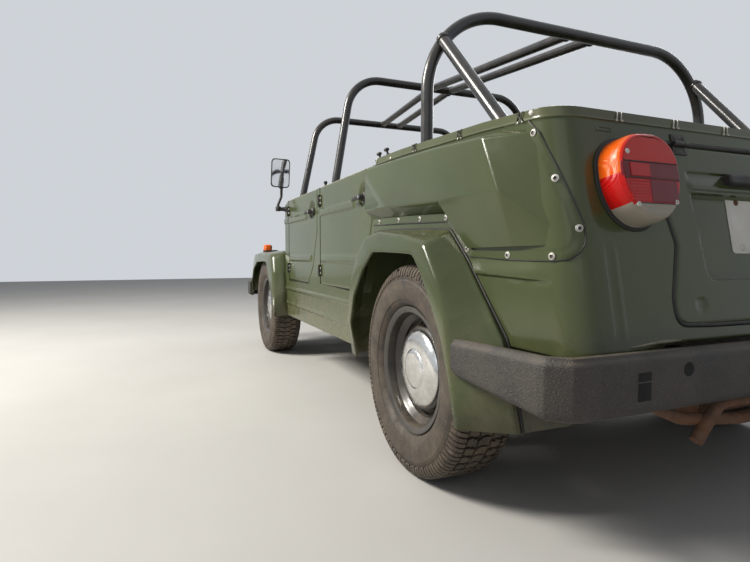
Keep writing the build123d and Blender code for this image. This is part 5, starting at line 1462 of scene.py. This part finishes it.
def lid_rise(x, z):
    """Height of the lid's skin over the rear face."""
    r = RECESS
    half = r["low_half"] + (r["high_half"] - r["low_half"]) * (z - r["low"]) / (r["high"] - r["low"])
    across, up, down = half - abs(x), z - r["low"], r["high"] - z
    corner = 22.0
    if across < corner and up < corner:
        inside = corner - math.hypot(corner - across, corner - up)
    else:
        inside = min(across, up)
    rise = -r["deep"] * ramp_step(inside, 0, 9) * ramp_step(down, 0, 4)
    if z > LEDGE_LOW - 5 and inside > -4:
        hood = 3.5 - 9.0 * ramp_step(z, LEDGE_HIGH, r["high"] - 4)
        hood += 5.5 * ramp_step(z, r["high"] - 6, r["high"])
        groove = 2.4 * bulge(z, 878, 2.6)
        lip = (hood - groove) * ramp_step(inside, -4, 1)
        rise += (lip - rise) * ramp_step(z, LEDGE_LOW - 4, LEDGE_LOW)
    away = math.hypot(abs(x) - 317, z - 599)
    rise -= 4.0 * (1 - ramp_step(away, 12, 20))
    return rise + 1.2 * ramp_step(away, 20, 12)


def hinge_leaf(piece, x, z, ends, out, screw_z):
    """Leaf of a lid hinge with two screws; ends are its lower and upper edge from z."""
    low, high = ends
    leaf = [(-25, low), (25, low), (25, high), (-25, high)]
    piece.prism(leaf, (on_tail(x, z, out), TAIL_U, TAIL_V), 0, 3.5, "black", 1, 2)
    for u in (-15, 15):
        piece.lathe([(3, 4.2), (4.5, 4.2), (5.5, 3), (5.5, 0.1)], on_tail(x + u, screw_z, 0), TAIL_N, "black",
                    12)


def engine_lid():
    piece = Piece("engine_lid_skin", "paint", "inner_paint", "black")
    levels = [553.2 + d for d in (0, 1.2, 3.5, 7)]
    z = 568.0
    while z < 982:
        levels.append(z)
        fine = any(abs(z - mark) < half for mark, half in ((599, 22), (658, 12), (878, 13), (925, 8)))
        z += 2.4 if fine else 9.0
    levels += [984, 987, 989]
    rows = []
    for z in levels:
        half = lid_half(z) if z > 560 else 300 + 70 * ((z - 553) / 7) ** 0.5
        spots = [half, half - 1.2, half - 3.5, half - 7]
        spots += [half - 7 - (half - 7) * k / 52 for k in range(1, 53)]
        row = []
        for x in spots:
            edge = min(half - x, z - 553.2, 989 - z)
            drop = 3.0 * (1 - min(edge, 7) / 7) ** 2.2
            row.append(on_tail(x, z, lid_rise(x, z) - drop))
        rows.append(row + [Vector((-p.x, p.y, p.z)) for p in reversed(row[:-1])])
    rim = rim_of(piece.grid(rows, "paint"))
    middle = on_tail(0, 770, 0)
    walls = []
    for depth, inset in ((0, 0), (-0.014, 0), (-0.018, 0.004), (-0.020, 0.016)):
        walls.append([p + TAIL_N * depth + (middle - p).normalized() * inset for p in rim])
    piece.grid(walls[:3], "paint", closed=True)
    verts = piece.grid(walls[2:], "inner_paint", closed=True)
    piece.cap(verts[-1], "inner_paint")
    # plate-lamp bar, and hinges with leaf, barrel and pin
    bar = [(-172, -11), (-160, -15), (160, -15), (172, -11), (172, 8), (164, 11), (-164, 11), (-172, 8)]
    piece.prism(bar, (on_tail(0, 909, -6), TAIL_U, TAIL_V), 0, 30, "black", 6, 3)
    for x in (-LID_HINGE, LID_HINGE):
        piece.lathe([(-26, 0.2), (-26, 5.8), (-25, 6.6), (-9, 6.6), (-8.5, 5.8), (8.5, 5.8), (9, 6.6),
                     (25, 6.6), (26, 5.8), (26, 0.2)], on_tail(x, 990.5, 8.0), (1, 0, 0), "black", 20)
        hinge_leaf(piece, x, 989, (-24, 0), 0.5, 974)
    piece.done("engine_lid", ["engine_lid"], "body_paint", sharp=36)
    leaves = Piece("engine_lid_hinge_leaves", "black")
    for x in (-LID_HINGE, LID_HINGE):
        hinge_leaf(leaves, x, 996, (0, 20), 0.2, 1007)
    leaves.done("body_shell", sharp=36)


engine_lid()


def plate():
    """Blank plate with rounded corners, a raised edge and its screws."""
    piece = Piece("blank_plate", "plate", "zinc", "rust")
    shape = ((-152, -76), (152, -76), (152, 76), (-152, 76))
    loop = flat_loop(shape, 13, 6)

    def ring(inset, out):
        wide, tall = (1 - inset / 152) * MM, (1 - inset / 76) * MM
        return [on_tail(0, 798, out) + TAIL_U * p.x * wide + TAIL_V * p.y * tall for p in loop]

    base = -RECESS["deep"]
    rows = [ring(0, base + 0.4), ring(0, base + 1.8), ring(1.2, base + 2.6), ring(3.4, base + 2.6),
            ring(4.6, base + 1.9), ring(30, base + 1.9)]
    verts = piece.grid(rows, "plate", closed=True)
    piece.cap(verts[-1], "plate")
    for u, v, mat in ((-112, 60, "rust"), (112, 60, "rust"), (-112, -60, "zinc"), (112, -60, "zinc")):
        place = on_tail(0, 798, base + 1.9) + TAIL_U * u * MM + TAIL_V * v * MM
        piece.lathe([(0, 8.5), (1.2, 8.3), (3, 6), (3.6, 3), (3, 2.2), (3, 0.1)], place,
                    TAIL_N, mat, 20)
    piece.done("engine_lid", ["number_plate"], "plate_white", sharp=40)


plate()

# Padded seats: each cushion is blown up as cloth, then gets its sewn channels and piping
SEAT_X = 360.0
CUSHION_START = 15.0
CUSHION_CAP = 14.0
CUSHION_VOXEL = 0.011


def evaluated_mesh(obj):
    return bpy.data.meshes.new_from_object(obj.evaluated_get(bpy.context.evaluated_depsgraph_get()))


def blown_up(obj):
    """Cloth with inside pressure and no gravity, each point's move held under a cap."""
    rest = [v.co.copy() for v in obj.data.vertices]
    cloth = obj.modifiers.new("cloth", "CLOTH")
    cloth.settings.use_pressure = True
    cloth.settings.uniform_pressure_force = 4.0
    cloth.settings.effector_weights.gravity = 0.0
    cloth.settings.quality = 5
    cloth.point_cache.frame_start = 1
    cloth.point_cache.frame_end = 20
    for step in range(1, 21):
        scene.frame_set(step)
    moved = [v.co.copy() for v in evaluated_mesh(obj).vertices]
    obj.modifiers.remove(cloth)
    scene.frame_set(1)
    for v, a, b in zip(obj.data.vertices, rest, moved):
        step = b - a
        if step.length > CUSHION_CAP * MM:
            step *= CUSHION_CAP * MM / step.length
        v.co = a + step


def cushion(name, node, low, high, up, along, seams):
    """Cushion between two corners; up is its padded side, seams are channel places across the along axis."""
    lo, hi = V(*low), V(*high)
    middle = (lo + hi) / 2
    start = Piece(name + "_start", "vinyl")
    inset = V(CUSHION_START, CUSHION_START, CUSHION_START)
    start.box([c / MM for c in lo + inset], [c / MM for c in hi - inset], "vinyl", 24, 4)
    mesh = bpy.data.meshes.new(name)
    start.bm.to_mesh(mesh)
    mesh.materials.append(M["vinyl"])
    obj = bpy.data.objects.new(name, mesh)
    scene.collection.objects.link(obj)
    remesh = obj.modifiers.new("remesh", "REMESH")
    remesh.mode = "VOXEL"
    remesh.voxel_size = CUSHION_VOXEL
    fine = evaluated_mesh(obj)
    obj.modifiers.remove(remesh)
    obj.data = fine
    blown_up(obj)
    soft = obj.modifiers.new("soft", "SUBSURF")
    soft.levels = 1
    soft.render_levels = 1
    smooth = evaluated_mesh(obj)
    obj.modifiers.remove(soft)
    obj.data = smooth
    sign = 1 if sum(up) > 0 else -1
    axis = [abs(c) for c in up].index(1)
    across = 3 - axis - along
    half = (hi - lo) / 2
    for v in smooth.vertices:
        height = sign * (v.co[axis] - middle[axis]) / half[axis]
        side = abs(v.co[across] - middle[across]) / half[across]
        end = abs(v.co[along] - middle[along]) / half[along]
        if height > 0.2:
            dip = sum(math.exp(-((v.co[along] - middle[along]) / MM - s) ** 2 / 60.0) for s in seams)
            dip *= (1 - ramp_step(side, 0.76, 0.84)) * (1 - ramp_step(end, 0.80, 0.9))
            border = math.exp(-((side - 0.80) * half[across] / 0.006) ** 2) * (1 if end < 0.84 else 0)
            border += math.exp(-((end - 0.84) * half[along] / 0.006) ** 2) * (1 if side < 0.80 else 0)
            v.co[axis] -= sign * 0.0055 * min(1.0, max(dip, border)) * ramp_step(height, 0.2, 0.6)
    for polygon in smooth.polygons:
        polygon.use_smooth = True
    if not smooth.materials:
        smooth.materials.append(M["vinyl"])
    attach(obj, "body_shell")
    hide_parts(node)
    # piping sewn along the edge of the padded side
    tree = kdtree.KDTree(len(smooth.vertices))
    for v in smooth.vertices:
        tree.insert(v.co, v.index)
    tree.balance()
    line = flat_loop(((-1, -1), (1, -1), (1, 1), (-1, 1)), 0.16, 6)
    dense = []
    for k, p in enumerate(line):
        q = line[(k + 1) % len(line)]
        parts = max(1, int((q - p).length / 0.09))
        dense += [p.lerp(q, j / parts) for j in range(parts)]
    path = []
    for p in dense:
        spot = middle.copy()
        spot[along] += p.x * half[along]
        spot[across] += p.y * half[across]
        spot[axis] += sign * half[axis] * 0.80
        path.append(tree.find(spot)[0])
    for k in range(3):
        path = [(path[k - 1] + path[k] * 2 + path[(k + 1) % len(path)]) / 4 for k in range(len(path))]
    piping = Piece(name + "_piping", "seal")
    piping.tube(path, 3.4, "seal", 8, closed=True)
    piping.done("body_shell", sharp=60)


def seats():
    for side_name, x in (("left", SEAT_X), ("right", -SEAT_X)):
        lines = (-126, -76, -25, 25, 76, 126)
        cushion(f"seat_cushion_{side_name}", "front_seats", (x - 240, -250, 430), (x + 240, 230, 540),
                (0, 0, 1), 0, lines)
        cushion(f"seat_back_{side_name}", "front_seats", (x - 240, 233, 445), (x + 240, 323, 1000),
                (0, -1, 0), 0, lines)
    lines = [-390 + 65 * k for k in range(13)]
    cushion("bench_cushion", "rear_bench", (-524, 475, 600), (524, 845, 720), (0, 0, 1), 0, lines)
    cushion("bench_back", "rear_bench", (-524, 848, 605), (524, 945, 1020), (0, -1, 0), 0, lines)


seats()


def seat_frames():
    """Tube frames on sliding rails under and behind the front seats."""
    piece = Piece("seat_frame_tubes", "black", "zinc", "axle")
    for x in (SEAT_X, -SEAT_X):
        for side in (-1, 1):
            edge = x + side * 185
            legs = mm([(edge, -205, 334), (edge, -205, 414), (edge, 240, 414), (edge, 262, 334)])
            piece.tube(rounded_line(legs, [0, 0.04, 0.04, 0], 5), 11.5, "black", 12)
            piece.box((edge - 17, -215, 320.5), (edge + 17, 275, 334), "axle", 3, 2)
            piece.box((edge - 9, -210, 333), (edge + 9, 265, 339), "axle", 2, 2)
        for y in (-190, 20, 225):
            piece.tube(mm([(x - 185, y, 414), (x + 185, y, 414)]), 10.5, "black", 12)
        hoop = mm([(x - 185, 245, 414), (x - 185, 296, 430), (x - 170, 296, 436)])
        piece.tube(rounded_line(hoop, [0, 0.02, 0], 4), 10, "black", 10)
        piece.box((x - 150, -190, 419), (x + 150, 220, 427), "black", 3, 2)
        piece.tube(mm([(x + 60, -232, 380), (x + 60, -205, 392), (x + 60, -150, 404)]), 6, "zinc", 10)
        piece.lathe([(0, 0.2), (0, 8), (20, 9.5), (30, 6), (31, 0.2)], V(x + 60, -250, 374), (0, 1, 0.3),
                    "black", 14)
    piece.done("body_shell", ["seat_frames"], sharp=40)


seat_frames()

# Dashboard with its instrument, switches, grab handle and slatted panel
WHEEL_TILT = math.radians(35.0)


def dashboard():
    piece = Piece("dashboard_panel", "paint", "black", "dial", "chrome", "plate", "seal", "plastic", "glass")
    face_y = -730.0
    shape = [(-770, 832), (-736, 832), (-731, 840), (-730, 990), (-738, 1008), (-770, 1010)]
    loop = rounded_line([Vector((0, y * MM, z * MM)) for y, z in shape], [0, 0.004, 0.01, 0.016, 0.01, 0], 4)
    spots = [-689, -686, -660, -560, -440, -300, -180, -60, 60, 180, 300, 440, 560, 660, 686, 689]
    rows = [[p + V(x, 0.6 if abs(x) > 687 else 0, 0) for p in loop] for x in spots]
    piece.closed_grid(rows, "paint")
    # round instrument before the driver, with plain ticks and a needle
    centre = V(SEAT_X, face_y, 936)
    back = Vector((0, 1, 0))
    piece.lathe([(-4, 64), (10, 63.5), (14, 60), (14, 54.5), (6, 53)], centre, back, "black", 56)
    piece.lathe([(6, 53), (6, 0.2)], centre, back, "dial", 48)
    for k in range(27):
        a = math.radians(-220 + k * 10)
        out = Vector((math.cos(a), 0, -math.sin(a)))
        long = 0.012 if k % 5 == 0 else 0.007
        tick = [centre + back * 0.0066 + out * r for r in (0.050 - long, 0.050)]
        piece.tube(tick, 0.9, "plate", 6)
    piece.tube([centre + back * 0.0085, centre + back * 0.0085 + Vector((-0.036, 0, -0.018))], 1.1, "plate",
               6)
    piece.lathe([(6, 8), (10.5, 6.5), (11.5, 0.1)], centre, back, "plastic", 20)
    for k, x in enumerate((250, 215, 180, 110, 75, 40)):
        place = V(x, face_y, 930 if k < 3 else 880)
        piece.lathe([(0, 12.5), (2, 12), (3, 6), (10, 5.5), (12, 10.5), (22, 11.5), (26, 8), (26.5, 0.1)],
                    place, back, "plastic", 22)
    for x in (300, 420):
        piece.lathe([(0, 6), (3.5, 5.5), (4.5, 0.1)], V(x, face_y, 860), back, "chrome", 14)
    grab = mm([(-210, face_y, 930), (-210, face_y + 34, 930), (-480, face_y + 34, 930), (-480, face_y, 930)])
    piece.tube(rounded_line(grab, [0, 0.02, 0.02, 0], 5), 8.5, "black", 12)
    for x in (-210, -480):
        piece.lathe([(0, 16), (3, 15.5), (4, 10), (4, 0.2)], V(x, face_y, 930), back, "black", 20)
    piece.box((-120, face_y - 2, 852), (-20, face_y + 4, 968), "black", 4, 2)
    for i in range(6):
        piece.box((-110, face_y + 2, 866 + i * 16), (-30, face_y + 6.5, 872 + i * 16), "plastic", 1.5, 1)
    piece.done("body_shell", ["dashboard"], "body_paint", sharp=38)


dashboard()


def steering():
    """Steering wheel with finger grips and two pressed spokes, and its column with the switch stalk."""
    piece = Piece("steering_wheel_rim", "plastic", "black", "chrome", "zinc")
    origin = V(SEAT_X, -430, 960)
    u = Vector((1, 0, 0))
    n = Vector((0, math.cos(WHEEL_TILT), math.sin(WHEEL_TILT)))
    v = n.cross(u)
    rows = []
    for a in angles(96):
        out = u * math.cos(a) + v * math.sin(a)
        grip = 1.0 + 0.05 * math.cos(a * 36)
        rows.append([origin + out * (0.195 + 0.0105 * math.cos(b) * grip) + n * 0.0105 * math.sin(b) * grip
                     for b in angles(14)])
    piece.grid(rows, "plastic", closed=True, ring=True)
    for side in (-1, 1):
        rows = []
        for k in range(11):
            t = k / 10
            mid = origin + u * side * (0.030 + 0.158 * t) - v * 0.010 * math.sin(math.pi * t)
            mid -= n * (0.020 - 0.020 * t)
            wide = 0.020 - 0.008 * math.sin(math.pi * min(1, t * 1.1)) * 0.9
            rows.append([mid + v * wide * math.cos(b) + n * 0.0048 * math.sin(b) for b in angles(14)])
        piece.closed_grid(rows, "plastic")
    piece.lathe([(-30, 0.2), (-30, 30), (-10, 36), (0, 40), (6, 38), (7.5, 34), (6, 32), (10, 30), (14.5, 18),
                 (15.5, 0.2)], origin - n * 0.004, n, "plastic", 48)
    piece.done("steering_wheel", ["steering_wheel"], "wheel_plastic", sharp=40)
    column = Piece("steering_column_tube", "black", "plastic", "zinc")
    base = origin - n * 0.036
    column.lathe([(0, 0.2), (0, 26), (-20, 28), (-85, 27), (-90, 22), (-360, 21.5)], base, n, "black", 32)
    stalk = [base - n * 0.05, base - n * 0.045 - u * 0.06, base - n * 0.02 - u * 0.13]
    column.tube(smooth_line(stalk, 6), 4.5, "plastic", 10)
    column.lathe([(0, 0.2), (0, 6), (30, 8.5), (40, 5), (41, 0.2)], stalk[-1], (-1, 0.35, 0.2), "plastic", 14)
    column.done("body_shell", ["steering_column"], sharp=40)


steering()


def floor_fittings():
    """Levers on the tunnel, pedals, ribbed mats and pressed ribs."""
    piece = Piece("floor_fittings", "black", "plastic", "zinc", "mat", "seal")
    tunnel_top = 450.0
    stick = smooth_line(mm([(0, -330, tunnel_top + 4), (6, -320, 560), (14, -280, 660), (18, -268, 712)]), 6)
    piece.tube(stick, [7.5 - 2.5 * k / (len(stick) - 1) for k in range(len(stick))], "black", 12)
    piece.lathe([(0, 0.2), (0, 9), (14, 19), (26, 22), (38, 18), (46, 8), (47, 0.2)],
                stick[-1] - Vector((0, 0, 0.004)), (0.05, 0.1, 1), "plastic", 24)
    for k in range(4):
        piece.lathe([(0, 52 - 9 * k), (8, 50 - 9 * k), (12, 43 - 9 * k)],
                    V(0, -330, tunnel_top - 1 + 11 * k), (0, 0, 1), "seal", 28)
    brake = smooth_line(mm([(0, -30, tunnel_top + 6), (0, 40, 486), (0, 170, 520), (0, 232, 532)]), 6)
    piece.tube(brake, 11, "black", 12)
    piece.lathe([(0, 0.2), (0, 7), (12, 7), (14, 0.2)], brake[-1], (0, 1, 0.15), "zinc", 14)
    for x, wide in ((300, 34), (380, 34), (450, 22)):
        arm = smooth_line(mm([(x, -742, 560), (x, -700, 470), (x, -664, 428)]), 5)
        piece.tube(arm, 6, "black", 10)
        pad = Matrix.Translation(V(x, -660, 420)) @ Matrix.Rotation(math.radians(-38), 4, "X")
        piece.box((-wide, -5, -30 if wide > 30 else -60), (wide, 5, 30 if wide > 30 else 50), "seal", 4, 2,
                  pad)
    for side in (-1, 1):
        for y0, y1 in ((-770, -262), (300, 462)):
            x0, x1 = sorted((side * 110, side * 640))
            piece.box((x0, y0, 319.5), (x1, y1, 324), "mat", 3, 2)
            for i in range(int((y1 - y0 - 40) / 18)):
                y = y0 + 24 + i * 18
                piece.box((x0 + 24, y, 323.5), (x1 - 24, y + 8, 326.5), "mat", 1, 1)
    piece.done("body_shell", sharp=40)


floor_fittings()


def cage_bars():
    """Twin bars between the hoops and the rear braces, with welded collars where they join."""
    piece = Piece("cage_bar_tubes", "tube")
    for x in (-60, 60):
        for a, b in (((x, 1081, 1555), (x, 0, 1665)), ((x, 0, 1665), (x, -705, 1620))):
            p, q = V(*a), V(*b)
            along = (q - p).normalized()
            p, q = p + along * 0.019, q - along * 0.019
            piece.tube([p.lerp(q, k / 6) for k in range(7)], 19, "tube", 20)
            for end, way in ((p, 1), (q, -1)):
                piece.lathe([(0, 19.5), (1, 22.5), (4, 22.5), (6.5, 19.5)], end, along * way, "tube", 24)
    for side in (-1, 1):
        p, q = V(side * 618, 1088, 1450), V(side * 580, 1657, 812)
        along = (q - p).normalized()
        piece.tube([p.lerp(q, k / 6) for k in range(7)], 21, "tube", 20)
        piece.lathe([(0, 22), (1, 25.5), (6, 25.5), (9, 21.5)], p + along * 0.012, along, "tube", 24)
        piece.lathe([(0, 0.2), (0, 52), (6, 52), (8, 48), (9, 24)], V(side * 580, 1657, 810), (0, 0, 1),
                    "tube", 28)
        piece.lathe([(0, 0.2), (0, 52), (6, 52), (8, 48), (9, 21.5)], V(side * 670, 1081, 810), (0, 0, 1),
                    "tube", 28)
    piece.done("body_shell", ["cage_bars"], sharp=40)


cage_bars()


# Floor, light and camera
floor_mesh = bpy.data.meshes.new("studio_floor")
bm = bmesh.new()
bmesh.ops.create_grid(bm, x_segments=4, y_segments=4, size=14.0)
bm.to_mesh(floor_mesh)
bm.free()
floor = bpy.data.objects.new("studio_floor", floor_mesh)
scene.collection.objects.link(floor)
m = Nodes("floor_pale")
m.set(Base_Color=m.mix(m.blotch(1.2, 4, 0.55, 0.3, 0.7), (0.54, 0.53, 0.51), (0.58, 0.57, 0.55)),
      Roughness=0.9)
floor_mesh.materials.append(m.mat)

world = bpy.data.worlds.new("studio")
scene.world = world
world.use_nodes = True
world.node_tree.nodes.clear()
w = Tree(world.node_tree)
height = w.add("SeparateXYZ", Vector=w.add("TexCoord").outputs["Generated"]).outputs["Z"]
tint = w.mix(w.ramp(height, -0.1, 0.9), (0.42, 0.42, 0.42), (0.80, 0.84, 0.92))
sky = w.add("Background", Color=tint, Strength=0.33)
pale = w.add("Background", Color=(0.62, 0.65, 0.69), Strength=1.0)
rays = w.add("LightPath").outputs
seen = w.math("MAXIMUM", rays["Is Camera Ray"], rays["Is Glossy Ray"])
mixer = w.add("MixShader", Fac=w.math("MAXIMUM", seen, rays["Is Transmission Ray"]))
w.put(mixer.inputs[1], sky.outputs[0])
w.put(mixer.inputs[2], pale.outputs[0])
w.add("OutputWorld", Surface=mixer.outputs[0])

for name, place, target, size, power, color in (
        ("key", (5.6, -1.0, 4.9), (0.4, 0.4, 0.6), (2.0, 2.0), 640, (1.0, 0.96, 0.88)),
        ("fill", (3.6, 5.4, 3.2), (0.2, 1.2, 0.6), (4.0, 2.5), 14, (0.93, 0.96, 1.0)),
        ("rim", (-5.5, -3.0, 4.0), (0, 0.5, 0.7), (3.5, 2.5), 130, (1, 1, 1))):
    data = bpy.data.lights.new(name, "AREA")
    data.shape = "RECTANGLE"
    data.size, data.size_y = size
    data.energy = power
    data.color = color
    lamp = bpy.data.objects.new(name, data)
    lamp.location = place
    lamp.rotation_mode = "QUATERNION"
    lamp.rotation_quaternion = (Vector(target) - Vector(place)).to_track_quat("-Z", "Y")
    scene.collection.objects.link(lamp)

camera_data = bpy.data.cameras.new("photo_camera")
camera_data.sensor_width = 36.0
camera_data.lens = 24.96
camera = bpy.data.objects.new("photo_camera", camera_data)
camera.location = (1.519, 2.661, 0.717)
camera.rotation_euler = (math.radians(90 - 2.86), 0.0, math.radians(180 - 22.6))
camera_data.clip_start = 0.05
scene.collection.objects.link(camera)
scene.camera = camera
